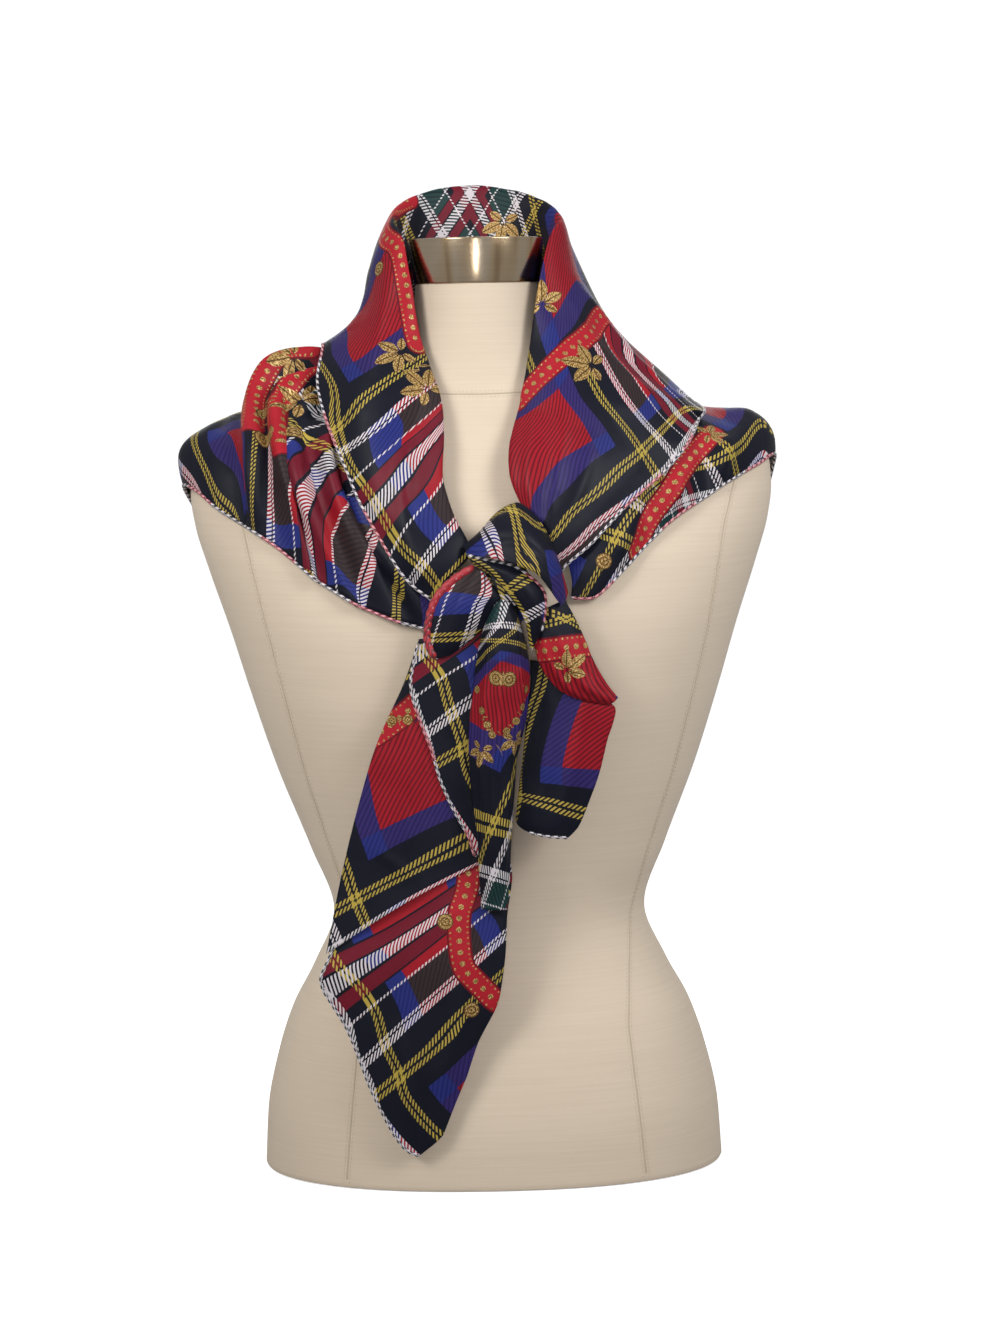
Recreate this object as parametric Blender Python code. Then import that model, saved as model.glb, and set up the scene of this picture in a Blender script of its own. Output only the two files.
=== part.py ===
"""Silk square scarf tied in front, on a limbless dress form.

The form stands on its flat underside at Z = 0 and faces -Y. The scarf is one square, folded
cornerwise round the neck. Each stretch that shows is a wall of its own, worked out from a short
table of sections in millimetres and laid off the form and off the stretches under it.
"""
import math
from collections import namedtuple

import bmesh
import bpy
import numpy as np
from mathutils import Vector
from mathutils.bvhtree import BVHTree

# ---------------------------------------------------------------- driving dimensions, millimetres
MM = 0.001              # one millimetre in metres
WALL = 1.5              # cloth wall of every stretch
SEAM_GAP = 0.3          # gap between pieces that meet
FORM_CLEARANCE = 1.25   # cloth mid-surface above the form, at least
LAYER_STEP = 2.3        # mid-surface to mid-surface where one stretch lies on another
EDGE_REACH = 3.5        # how far past an edge the stretch above is still carried
LOOK_FROM = 120.0       # distance outside the form from which layers are measured
FRONT_TILT = 0.5        # how much the lift of a stretch in front leans forward
CLEARING_ROUNDS = 3     # passes that clear a stretch of the form
SOFTENING_ROUNDS = 3    # passes that soften where one stretch is lifted over another
SETTLE_GAP = 0.35       # gap at which a stretch that hangs in front has settled on its neighbours
SETTLE_REACH = 12.0     # how far away neighbours are looked for
SETTLE_ROUNDS = 40

FORM_RING = 40          # points round the form
FORM_LOW_RINGS = 14     # rings from the underside up to the shoulders
FORM_LOW_TOP = 540.0    # height of the last of them
FORM_HIGH_RINGS = (556.0, 568.0, 577.0, 585.0, 592.0, 599.0, 606.0,     # over the shoulders
                   613.0, 621.0, 630.0, 641.0, 656.0)                   # and up the neck
FORM_TOP = 680.7        # top of the form's neck
SEAM_HEIGHT = 611.0     # neck seam at the sides
SEAM_SLOPE = 12.0       # degrees, the seam drops towards the front

CAP_RING = 48
CAP_FOOT = (681.0, 48.0)    # height and radius where the cap sits on the neck
CAP_HEAD = (715.0, 51.5)    # height and radius of its top
CAP_EDGE = 1.0              # rounded edge
CAP_SHARP = math.radians(30)

# Materials: base colour, roughness and how metallic
Finish = namedtuple("Finish", "colour roughness metallic")
LINEN = Finish((0.640, 0.545, 0.440), 0.85, 0.0)
STEEL = Finish((0.560, 0.520, 0.470), 0.28, 1.0)
NAVY_SILK = Finish((0.030, 0.030, 0.055), 0.45, 0.0)
RED_SILK = Finish((0.300, 0.025, 0.045), 0.45, 0.0)

# Form: height, half width, depth in front, depth behind, roundness power
FormSection = namedtuple("FormSection", "height half front back power")
FORM = [FormSection(*row) for row in (
    (0, 179, 110, 106, 2.3), (45, 176, 113, 109, 2.3), (91, 166, 110, 107, 2.3),
    (123, 155, 105, 102, 2.3), (155, 138, 98, 95, 2.25), (199, 121, 90, 84, 2.2),
    (250, 138, 97, 88, 2.25), (313, 162, 110, 95, 2.3), (376, 182, 123, 101, 2.3),
    (420, 195, 126, 104, 2.3), (469, 211, 118, 106, 2.3), (500, 220, 106, 105, 2.3),
    (523, 223, 95, 102, 2.3), (548, 221, 83, 96, 2.3), (560, 215, 77, 92, 2.3),
    (567, 206, 73, 88, 2.25), (573, 188, 70, 84, 2.2), (580, 160, 67, 80, 2.15),
    (589, 128, 64, 76, 2.1), (599, 98, 60, 72, 2.1), (610, 76, 56, 68, 2.05),
    (623, 62, 53, 62, 2.0), (636, 55, 51, 57, 2.0), (650, 51, 49.5, 52.5, 2.0),
    (681, 47, 47, 47, 2.0),
)]


# ---------------------------------------------------------------- the form as a formula
def smooth_column(heights, values, height):
    """Monotone cubic through a column of the form's table."""
    step = np.diff(heights)
    slope = np.diff(values) / step
    tangent = np.zeros(len(heights))
    tangent[0], tangent[-1] = slope[0], slope[-1]
    for i in range(1, len(heights) - 1):
        if slope[i - 1] * slope[i] > 0:
            before = (2 * step[i] + step[i - 1]) / slope[i - 1]
            after = (step[i] + 2 * step[i - 1]) / slope[i]
            tangent[i] = 3 * (step[i - 1] + step[i]) / (before + after)
    height = min(max(height, heights[0]), heights[-1])
    i = min(int(np.searchsorted(heights, height, side="right")) - 1, len(heights) - 2)
    t = (height - heights[i]) / step[i]
    rest = 1 - t
    return ((1 + 2 * t) * rest * rest * values[i] + t * rest * rest * step[i] * tangent[i]
            + t * t * (3 - 2 * t) * values[i + 1] - t * t * rest * step[i] * tangent[i + 1])


# The table read off at close heights
SECTION_STEP = 0.5
FORM_COLUMNS = np.array(FORM, float).T
SECTION_HEIGHTS = np.arange(0.0, FORM_COLUMNS[0][-1] + SECTION_STEP, SECTION_STEP)
SECTION_VALUES = np.array([[smooth_column(FORM_COLUMNS[0], column, height) for height in SECTION_HEIGHTS]
                           for column in FORM_COLUMNS[1:]])


def form_section(height):
    """Half width, front depth, back depth and power of the form at a height."""
    return [np.interp(height, SECTION_HEIGHTS, column) for column in SECTION_VALUES]


def form_depth(x, z, side):
    """Y of the form's surface at x and z: side -1 is the front, 1 the back."""
    half, front_depth, back_depth, power = form_section(z)
    rest = max(0.0, 1 - (abs(x) / half) ** power)
    return side * (front_depth if side < 0 else back_depth) * rest ** (1 / power)


def form_distance(point):
    """Rough distance of a point from the form's surface (positive outside) and the way out."""
    def level(p):
        half, front_depth, back_depth, power = form_section(p[2])
        depth = front_depth if p[1] < 0 else back_depth
        return ((abs(p[0]) / half) ** power + (abs(p[1]) / depth) ** power) ** (1 / power)
    slope = np.array([(level(point + axis / 2) - level(point - axis / 2)) for axis in np.eye(3)])
    steep = max(float(np.linalg.norm(slope)), 1e-6)
    return (level(point) - 1) / steep, slope / steep


def front(x, z, lift):
    """A point in front of the form, lifted off its surface."""
    return (x, form_depth(x, z, -1) - lift, z)


def back(x, z, lift):
    """A point behind the form, lifted off its surface."""
    return (x, form_depth(x, z, 1) + lift, z)


def at(x, y, z):
    """A point that hangs or stands free of the form."""
    return (x, y, z)


# ---------------------------------------------------------------- tables of the scarf's stretches
# Collar: the folded edge stands up round the neck and rolls over into two lapels and a back flap.
# A row is one section across it, from the left of the knot round the neck to its right.
COLLAR_COLUMNS = ("stand_low", "stand_mid", "roll", "upper", "lower", "hem")
COLLAR = (
    (front(-28, 470, 6), front(-14, 480, 9), front(-6, 484, 16),
     front(-14, 476, 21), front(-26, 464, 20), front(-35, 450, 14)),
    (front(-36, 490, 6), front(-21, 496, 11), front(-13, 498, 20),
     front(-26, 488, 26), front(-42, 474, 25), front(-52, 463, 13)),
    (front(-46, 508, 6), front(-30, 513, 11), front(-21, 514, 20),
     front(-38, 505, 28), front(-54, 493, 27), front(-66, 482, 13)),
    (front(-54, 537, 6), front(-36, 538, 11), front(-28, 537, 20),
     front(-48, 529, 29), front(-70, 522, 28), front(-87, 519, 15)),
    (front(-55, 565, 6), front(-36, 563, 11), front(-27, 562, 19),
     front(-50, 556, 29), front(-78, 551, 29), front(-101, 551, 17)),
    (front(-52, 588, 6), front(-36, 586, 9), front(-27, 584, 16),
     front(-52, 580, 27), front(-86, 578, 30), front(-114, 581, 18)),
    (at(-55, -54, 608), at(-42, -62, 608), at(-31, -69, 606),
     at(-52, -79, 604), at(-88, -76, 602), at(-121, -42, 608)),
    (at(-57, -34, 634), at(-50, -42, 637), at(-43, -47, 640),
     at(-62, -56, 636), at(-89, -52, 628), at(-119, -24, 626)),
    (at(-59, -22, 642), at(-54, -28, 664), at(-50, -33, 682),
     at(-66, -36, 668), at(-88, -30, 648), at(-118, -10, 635)),
    (at(-60, -8, 645), at(-57, -13, 690), at(-56, -16, 715),
     at(-71, -16, 694), at(-88, -10, 660), at(-117, 2, 636)),
    (at(-60, 10, 646), at(-60, 9, 698), at(-64, 10, 730),
     at(-79, 8, 702), at(-90, 10, 662), at(-115, 18, 630)),
    (at(-50, 38, 646), at(-51, 40, 702), at(-58, 43, 743),
     at(-75, 50, 712), at(-88, 55, 664), at(-106, 54, 614)),
    (at(-31, 56, 646), at(-34, 60, 704), at(-38, 68, 753),
     at(-49, 83, 722), at(-57, 92, 664), at(-68, 90, 590)),
    (at(-3, 64, 646), at(-3, 68, 706), at(-3, 80, 758),
     at(-3, 96, 724), at(-3, 104, 656), at(-3, 112, 548)),
    (at(27, 57, 646), at(29, 61, 704), at(34, 68, 752),
     at(46, 85, 718), at(62, 96, 656), at(88, 96, 576)),
    (at(47, 40, 646), at(49, 42, 702), at(57, 42, 741),
     at(74, 52, 706), at(97, 60, 652), at(140, 58, 600)),
    (at(59, 10, 646), at(59, 9, 698), at(66, 9, 728),
     at(79, 8, 686), at(108, 8, 642), at(163, 16, 588)),
    (at(59, -10, 645), at(56, -14, 690), at(58, -13, 718),
     at(73, -16, 686), at(107, -14, 640), at(168, -12, 585)),
    (at(58, -24, 640), at(53, -30, 662), at(48, -35, 684),
     at(70, -38, 660), at(107, -36, 624), at(170, -28, 583)),
    (at(56, -38, 626), at(48, -44, 632), at(40, -49, 638),
     at(65, -58, 634), at(109, -58, 609), at(169, -44, 580)),
    (at(55, -52, 604), at(43, -61, 606), at(34, -68, 605),
     at(62, -80, 600), at(112, -78, 588), front(165, 575, 12)),
    (front(54, 584, 6), front(38, 584, 9), front(29, 582, 16),
     front(60, 578, 29), front(108, 568, 25), front(155, 559, 13)),
    (front(52, 561, 6), front(33, 562, 11), front(23, 561, 20),
     front(56, 555, 31), front(98, 547, 26), front(135, 538, 15)),
    (front(52, 536, 6), front(33, 537, 12), front(23, 537, 22),
     front(52, 530, 31), front(84, 523, 26), front(110, 518, 16)),
    (front(56, 512, 6), front(40, 514, 12), front(32, 515, 20),
     front(50, 509, 26), front(66, 500, 24), front(80, 489, 15)),
    (front(60, 492, 6), front(49, 498, 10), front(41, 502, 17),
     front(49, 494, 22), front(55, 484, 20), front(60, 473, 14)),
    (front(60, 476, 6), front(53, 482, 8), front(48, 487, 13),
     front(51, 480, 16), front(54, 472, 15), front(56, 463, 11)),
)

# Cape: the lower layer on the shoulders. A row is one pleat ridge or one valley, or a plain
# section at the tips, from under the collar out to the lower edge.
CAPE_COLUMNS = ("inner", "crest", "shoulder", "upper", "middle", "lower", "edge")
CAPE_LEFT = (
    (front(-50, 545, 2), front(-47, 530, 2), front(-43, 515, 2), front(-38, 500, 2),
     front(-33, 484, 2), front(-26, 464, 3), front(-20, 442, 4)),
    (front(-60, 572, 2), front(-72, 560, 6), front(-82, 548, 10), front(-85, 532, 13),
     front(-80, 508, 14), front(-64, 474, 14), front(-36, 430, 9)),
    (front(-62, 588, 2), front(-82, 580, 4), front(-96, 568, 6), front(-103, 552, 7),
     front(-99, 524, 7), front(-80, 486, 7), front(-52, 432, 5)),
    (at(-66, -48, 607), front(-92, 594, 8), front(-108, 584, 12), front(-114, 566, 16),
     front(-108, 536, 17), front(-92, 497, 14), front(-65, 436, 8)),
    (at(-70, -44, 607), front(-98, 594, 4), front(-118, 586, 5), front(-128, 572, 6),
     front(-124, 536, 7), front(-112, 501, 6), front(-86, 444, 4)),
    (at(-70, -38, 612), at(-104, -34, 610), at(-130, -42, 598), front(-139, 582, 19),
     front(-135, 546, 18), front(-126, 512, 15), front(-96, 449, 7)),
    (at(-74, -30, 611), at(-106, -22, 603), at(-133, -32, 596), at(-147, -42, 584),
     front(-142, 552, 12), front(-133, 508, 7), front(-118, 462, 3)),
    (at(-74, -20, 616), at(-112, -13, 621), at(-142, -22, 614), at(-155, -33, 599),
     front(-150, 564, 20), front(-141, 526, 17), front(-125, 467, 7)),
    (at(-80, -8, 612), at(-115, -2, 611), at(-149, -7, 608), at(-163, -22, 593),
     front(-159, 560, 6), front(-156, 526, 6), front(-150, 487, 3)),
    (at(-82, 16, 621), at(-127, 6, 635), at(-162, -2, 627), at(-176, -18, 597),
     front(-173, 568, 20), front(-172, 536, 17), front(-171, 501, 7)),
    (at(-82, 28, 614), at(-128, 20, 596), at(-160, 10, 592), at(-179, -8, 584),
     front(-181, 562, 4), front(-178, 536, 4), front(-177, 504, 3)),
    (at(-82, 38, 612), at(-130, 30, 594), at(-166, 18, 586), at(-192, 0, 582),
     at(-201, -28, 566), at(-200, -48, 544), at(-199, -57, 517)),
    (at(-82, 46, 610), at(-130, 40, 592), at(-168, 28, 583), at(-200, 8, 580),
     at(-217, -14, 568), at(-219, -28, 550), at(-214, -40, 528)),
    (at(-80, 54, 608), at(-128, 50, 590), at(-168, 40, 580), at(-206, 22, 574),
     at(-226, 4, 564), at(-232, -4, 551), at(-228, -14, 532)),
    (at(-76, 62, 606), at(-122, 62, 587), at(-160, 58, 574), at(-198, 48, 562),
     at(-219, 34, 548), at(-224, 26, 530), at(-222, 20, 512)),
)
CAPE_BACK = (
    (at(-75, 63, 606), at(-121, 63, 587), at(-159, 59, 574), at(-197, 50, 562),
     at(-217, 36, 547), at(-222, 28, 529), at(-220, 23, 510)),
    (at(-66, 70, 604), back(-98, 582, 4), back(-128, 565, 5), back(-154, 543, 6),
     back(-172, 520, 6), back(-184, 497, 5), back(-190, 476, 3)),
    (at(-48, 76, 604), back(-68, 578, 8), back(-88, 552, 11), back(-104, 524, 13),
     back(-117, 494, 12), back(-126, 464, 9), back(-130, 440, 4)),
    (at(-26, 80, 604), back(-36, 574, 4), back(-46, 540, 4), back(-54, 506, 5),
     back(-59, 470, 5), back(-62, 434, 4), back(-62, 404, 2)),
    (at(0, 82, 604), back(0, 572, 9), back(0, 534, 12), back(0, 492, 13),
     back(0, 450, 12), back(0, 410, 9), back(0, 376, 3)),
    (at(26, 80, 604), back(36, 574, 4), back(48, 540, 4), back(56, 506, 5),
     back(62, 470, 5), back(65, 434, 4), back(66, 404, 2)),
    (at(48, 76, 604), back(68, 578, 8), back(90, 552, 11), back(107, 524, 13),
     back(120, 496, 11), back(130, 468, 8), back(135, 444, 4)),
    (at(66, 70, 604), back(98, 582, 4), back(128, 565, 5), back(156, 543, 6),
     back(175, 522, 6), back(187, 501, 5), back(194, 482, 3)),
    (at(75, 63, 606), at(121, 63, 587), at(159, 59, 575), at(196, 50, 564),
     at(215, 37, 552), at(222, 29, 537), at(221, 24, 520)),
)
CAPE_RIGHT = (
    (at(76, 62, 606), at(122, 62, 587), at(160, 58, 575), at(197, 48, 565),
     at(217, 34, 553), at(224, 26, 538), at(223, 20, 522)),
    (at(80, 54, 608), at(128, 50, 589), at(170, 38, 580), at(203, 22, 578),
     at(219, 6, 572), at(226, -2, 560), at(226, -8, 547)),
    (at(82, 42, 610), at(132, 32, 592), at(172, 16, 583), at(204, 0, 581),
     at(213, -16, 570), at(215, -27, 557), at(212, -35, 542)),
    (at(84, 28, 614), at(132, 14, 592), at(166, 0, 584), at(188, -18, 575),
     front(195, 562, 7), front(197, 549, 6), front(195, 534, 3)),
    (at(82, 8, 616), at(124, -10, 594), at(150, -26, 584), at(170, -42, 572),
     front(180, 556, 12), front(182, 542, 11), front(181, 527, 5)),
    (at(79, -10, 615), at(112, -26, 596), at(138, -42, 582), front(154, 566, 6),
     front(164, 549, 6), front(168, 534, 5), front(168, 519, 3)),
    (at(74, -30, 611), front(96, 590, 6), front(118, 574, 10), front(133, 556, 11),
     front(142, 538, 12), front(146, 522, 13), front(145, 506, 6)),
    (at(68, -46, 606), front(84, 582, 4), front(102, 564, 5), front(114, 545, 6),
     front(121, 524, 7), front(124, 505, 7), front(122, 486, 4)),
    (front(62, 586, 2), front(73, 568, 5), front(84, 548, 9), front(93, 528, 12),
     front(100, 508, 15), front(104, 487, 15), front(102, 467, 7)),
    (front(58, 556, 2), front(64, 540, 3), front(70, 523, 5), front(76, 506, 8),
     front(81, 488, 11), front(84, 469, 12), front(83, 450, 7)),
    (front(54, 516, 2), front(57, 505, 2), front(60, 494, 2), front(62, 483, 3),
     front(64, 472, 5), front(66, 461, 6), front(65, 450, 6)),
)

# Knot and tails. A row is one section, from the stretch's left edge to its right one.
KNOT_COLUMNS = ("upper", "crown", "lower")
KNOT_LOOP = (
    (at(-4, -146, 475), at(-1, -149, 473), at(2, -149, 470)),
    (at(-19, -146, 466), at(-3, -154, 460), at(13, -151, 453)),
    (at(-32, -145, 453), at(-11, -156, 450), at(10, -151, 446)),
    (at(-38, -144, 436), at(-18, -154, 435), at(2, -149, 433)),
    (at(-39, -144, 421), at(-26, -151, 420), at(-13, -147, 419)),
    (at(-34, -145, 409), at(-29, -147, 410), at(-24, -146, 411)),
)
KNOT_BAND = (
    (at(-11, -148, 484), at(-8, -150, 480), at(-5, -149, 476)),
    (at(5, -154, 480), at(6, -158, 475), at(6, -155, 470)),
    (at(22, -158, 476), at(20, -163, 468), at(17, -160, 459)),
    (at(36, -159, 467), at(31, -165, 458), at(25, -160, 448)),
    (at(45, -156, 456), at(38, -163, 446), at(31, -157, 435)),
    (at(45, -152, 440), at(39, -158, 431), at(33, -152, 422)),
    (at(42, -148, 427), at(38, -151, 420), at(35, -149, 414)),
)
WRAP_COLUMNS = ("tuck", "upper", "crown", "lower")
KNOT_WRAP = (
    (at(-12, -134, 487), at(-14, -138, 489), at(-12, -143, 488), at(-11, -146, 485)),
    (at(2, -128, 497), at(-1, -138, 501), at(0, -152, 494), at(1, -158, 483)),
    (at(13, -124, 507), at(11, -136, 513), at(12, -157, 501), at(13, -164, 481)),
    (at(27, -124, 514), at(27, -135, 520), at(27, -159, 503), at(26, -168, 477)),
    (at(38, -130, 507), at(40, -138, 511), at(40, -159, 495), at(39, -168, 472)),
    (at(46, -136, 491), at(50, -141, 495), at(50, -158, 481), at(47, -164, 463)),
    (at(53, -138, 470), at(58, -141, 473), at(57, -153, 464), at(53, -158, 453)),
    (at(58, -138, 454), at(62, -140, 456), at(61, -147, 451), at(57, -151, 446)),
)
TAIL_COLUMNS = ("left", "middle", "right")
TAIL_LEFT_UPPER = (
    (at(-47, -137, 422), at(-24, -142, 424), at(-2, -143, 424)),
    (at(-59, -138, 389), at(-28, -143, 391), at(1, -142, 392)),
    (at(-75, -137, 356), at(-36, -143, 359), at(2, -141, 361)),
    (at(-85, -136, 330), at(-40, -142, 336), at(4, -140, 340)),
    (at(-97, -134, 290), at(-45, -141, 303), at(4, -139, 314)),
    (at(-107, -132, 252), at(-50, -139, 272), at(3, -138, 286)),
    (at(-113, -131, 226), at(-54, -138, 250), at(1, -137, 269)),
    (at(-121, -131, 188), at(-62, -138, 226), at(-7, -137, 254)),
)
TAIL_LEFT_PLAID = (
    (at(-47, -146, 419), at(-22, -150, 424), at(2, -150, 430)),
    (at(-53, -146, 390), at(-25, -150, 398), at(5, -149, 404)),
    (at(-47, -146, 364), at(-20, -149, 376), at(6, -148, 385)),
    (at(-39, -146, 342), at(-16, -148, 348), at(5, -147, 352)),
    (at(-33, -145, 319), at(-14, -147, 323), at(3, -146, 326)),
    (at(-23, -144, 295), at(-10, -146, 298), at(1, -145, 300)),
    (at(-13, -143, 276), at(-6, -144, 277), at(-1, -144, 278)),
    (at(-9, -142, 261), at(-5, -142, 261), at(-2, -142, 261)),
)
WIDE_TAIL_COLUMNS = ("left", "middle_left", "middle_right", "right")
TAIL_LEFT_LOWER = (
    (at(-96, -123, 246), at(-62, -127, 262), at(-26, -129, 282), at(10, -130, 304)),
    (at(-116, -125, 190), at(-74, -129, 208), at(-28, -131, 234), at(16, -131, 262)),
    (at(-125, -127, 169), at(-80, -131, 188), at(-32, -134, 214), at(18, -133, 243)),
    (at(-119, -126, 153), at(-76, -131, 170), at(-30, -135, 192), at(14, -134, 217)),
    (at(-108, -125, 134), at(-70, -130, 148), at(-28, -135, 167), at(12, -133, 187)),
    (at(-99, -124, 111), at(-64, -129, 124), at(-28, -132, 139), at(7, -131, 154)),
    (at(-91, -123, 87), at(-62, -128, 103), at(-30, -130, 120), at(0, -128, 137)),
    (at(-83, -122, 68), at(-59, -127, 84), at(-34, -129, 101), at(-10, -126, 118)),
    (at(-73, -121, 48), at(-55, -124, 63), at(-36, -126, 79), at(-18, -124, 94)),
    (at(-64, -120, 36), at(-52, -122, 47), at(-40, -124, 59), at(-28, -123, 71)),
    (at(-55, -120, 32), at(-49, -121, 37), at(-43, -122, 42), at(-37, -122, 48)),
)
GATHER_COLUMNS = ("left", "left_pleat", "crown", "right_pleat", "right")
TAIL_GATHER = (
    (at(9, -157, 448), at(12, -160, 451), at(15, -161, 452), at(19, -160, 450), at(23, -157, 447)),
    (at(0, -153, 428), at(6, -163, 431), at(15, -166, 432), at(23, -163, 431), at(29, -153, 428)),
    (at(-5, -152, 408), at(4, -163, 409), at(14, -168, 410), at(25, -163, 409), at(33, -152, 407)),
    (at(-8, -152, 386), at(2, -162, 387), at(13, -167, 388), at(25, -162, 387), at(33, -152, 385)),
    (at(-11, -152, 360), at(0, -161, 361), at(11, -165, 362), at(22, -161, 361), at(29, -152, 359)),
    (at(-12, -151, 334), at(-3, -159, 335), at(7, -162, 336), at(17, -159, 335), at(23, -151, 334)),
    (at(-10, -149, 305), at(-2, -156, 306), at(6, -159, 306), at(15, -156, 305), at(20, -149, 304)),
    (at(-7, -147, 275), at(0, -153, 276), at(6, -156, 276), at(13, -153, 275), at(18, -147, 274)),
    (at(-6, -144, 245), at(-1, -149, 246), at(5, -152, 246), at(11, -149, 245), at(16, -144, 244)),
    (at(-5, -142, 222), at(0, -145, 222), at(5, -147, 222), at(10, -145, 221), at(14, -142, 221)),
)
TAIL_RIGHT_UPPER = (
    (at(38, -147, 440), at(50, -151, 446), at(60, -146, 450)),
    (at(37, -149, 422), at(54, -155, 425), at(71, -146, 428)),
    (at(41, -149, 403), at(61, -155, 406), at(79, -146, 408)),
    (at(55, -148, 384), at(72, -153, 388), at(87, -145, 392)),
    (at(73, -147, 376), at(83, -149, 380), at(93, -144, 383)),
    (at(91, -144, 372), at(95, -145, 374), at(98, -143, 377)),
)
TAIL_RIGHT_LOWER = (
    (at(34, -139, 406), at(52, -142, 403), at(67, -138, 399)),
    (at(34, -139, 387), at(60, -142, 384), at(85, -138, 379)),
    (at(31, -138, 369), at(64, -142, 370), at(96, -137, 368)),
    (at(29, -137, 347), at(60, -142, 347), at(90, -136, 347)),
    (at(26, -136, 324), at(56, -141, 324), at(84, -135, 323)),
    (at(23, -135, 302), at(50, -139, 302), at(76, -134, 301)),
    (at(22, -134, 285), at(46, -137, 283), at(68, -133, 282)),
    (at(30, -133, 278), at(45, -134, 275), at(60, -132, 273)),
)

# The solid that stands for the layers hidden inside the knot
KNOT_CORE_CENTRE = at(18, -135.6, 455)
KNOT_CORE_HALF = (19.0, 14.5, 26.0)     # half sizes
KNOT_CORE_RINGS = 8
KNOT_CORE_AROUND = 16

BACKWARDS = np.array((0.0, 1.0, 0.0))
FORWARDS = -BACKWARDS

# Stretches from the form outwards: name, table and its columns, samples from row to row and from
# column to column, the column from which it lies on the stretches below, those, and its finish
Stretch = namedtuple("Stretch", "name table columns along across lies_from over finish")
CAPES = ("cape_left", "cape_back", "cape_right")
STRETCHES = (
    Stretch("cape_back", CAPE_BACK, CAPE_COLUMNS, 2, 2, "inner", (), NAVY_SILK),
    Stretch("cape_left", CAPE_LEFT, CAPE_COLUMNS, 3, 2, "inner", (), NAVY_SILK),
    Stretch("cape_right", CAPE_RIGHT, CAPE_COLUMNS, 2, 2, "inner", (), NAVY_SILK),
    Stretch("collar_roll", COLLAR, COLLAR_COLUMNS, 2, 3, "roll", CAPES, RED_SILK),
    Stretch("tail_left_lower", TAIL_LEFT_LOWER, WIDE_TAIL_COLUMNS, 2, 2, "left", (), NAVY_SILK),
    Stretch("tail_left_upper", TAIL_LEFT_UPPER, TAIL_COLUMNS, 2, 3, "left",
            ("tail_left_lower", "cape_left"), RED_SILK),
    Stretch("tail_right_lower", TAIL_RIGHT_LOWER, TAIL_COLUMNS, 2, 3, "left",
            ("cape_right",), NAVY_SILK),
    Stretch("tail_left_plaid", TAIL_LEFT_PLAID, TAIL_COLUMNS, 2, 3, "left",
            ("tail_left_upper", "collar_roll"), NAVY_SILK),
    Stretch("tail_right_upper", TAIL_RIGHT_UPPER, TAIL_COLUMNS, 2, 3, "left",
            ("tail_right_lower", "cape_right", "collar_roll"), RED_SILK),
    Stretch("knot_loop", KNOT_LOOP, KNOT_COLUMNS, 2, 3, "upper",
            ("tail_left_plaid", "collar_roll", "cape_left"), RED_SILK),
    Stretch("tail_gather", TAIL_GATHER, GATHER_COLUMNS, 2, 2, "left",
            ("knot_loop", "tail_left_plaid", "tail_left_upper", "tail_right_upper",
             "tail_right_lower", "tail_left_lower"), NAVY_SILK),
    Stretch("knot_band", KNOT_BAND, KNOT_COLUMNS, 2, 3, "upper",
            ("knot_loop", "tail_gather", "tail_right_upper", "collar_roll"), NAVY_SILK),
    Stretch("knot_wrap", KNOT_WRAP, WRAP_COLUMNS, 2, 3, "tuck",
            ("knot_band", "knot_loop", "tail_right_upper", "collar_roll"), NAVY_SILK),
)

# Stretches that settle back on what is behind them, and those that come forward to the one they
# hang from
SETTLE_BACK = ("tail_left_upper", "tail_left_plaid", "tail_right_upper", "knot_loop", "tail_gather",
               "knot_band", "knot_wrap")
SETTLE_FORWARD = ("tail_left_lower", "tail_right_lower")


# ---------------------------------------------------------------- surfaces
def curve_through(points, samples):
    """Catmull-Rom curve through points, with a number of samples between each two of them."""
    points = np.asarray(points, float)
    first, last = 2 * points[0] - points[1], 2 * points[-1] - points[-2]
    run = np.concatenate([[first], points, [last]])
    result = []
    for i in range(1, len(run) - 2):
        for k in range(samples):
            t = k / samples
            result.append(0.5 * (2 * run[i] + (run[i + 1] - run[i - 1]) * t
                                 + (2 * run[i - 1] - 5 * run[i] + 4 * run[i + 1] - run[i + 2]) * t * t
                                 + (3 * run[i] - run[i - 1] - 3 * run[i + 1] + run[i + 2]) * t ** 3))
    result.append(points[-1])
    return np.array(result)


def surface_through(table, along, across):
    """Grid of points, rows by columns, through a table of sections."""
    sections = np.array([curve_through(row, across) for row in table])
    return np.stack([curve_through(sections[:, j], along) for j in range(sections.shape[1])], axis=1)


def grid_normals(grid):
    """Unit normals of a grid, on the side of rows x columns."""
    along = np.gradient(grid, axis=0)
    across = np.gradient(grid, axis=1)
    normal = np.cross(along, across)
    length = np.linalg.norm(normal, axis=2, keepdims=True)
    return normal / np.maximum(length, 1e-6)


def spread_to_corners(of_faces):
    """Give each grid point the largest value of the faces around it."""
    padded = np.pad(of_faces, 1, mode="constant")
    return np.maximum.reduce([padded[:-1, :-1], padded[1:, :-1], padded[:-1, 1:], padded[1:, 1:]])


def face_middles(grid):
    """Middle points of a grid's faces."""
    return (grid[:-1, :-1] + grid[1:, :-1] + grid[:-1, 1:] + grid[1:, 1:]) / 4


def form_shortfall(points):
    """How far points are short of the clearance to the form, and the way out at each."""
    short = np.zeros(points.shape[:2])
    ways = np.zeros(points.shape)
    for index in np.ndindex(short.shape):
        distance, ways[index] = form_distance(points[index])
        short[index] = max(0.0, FORM_CLEARANCE - distance)
    return short, ways


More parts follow.
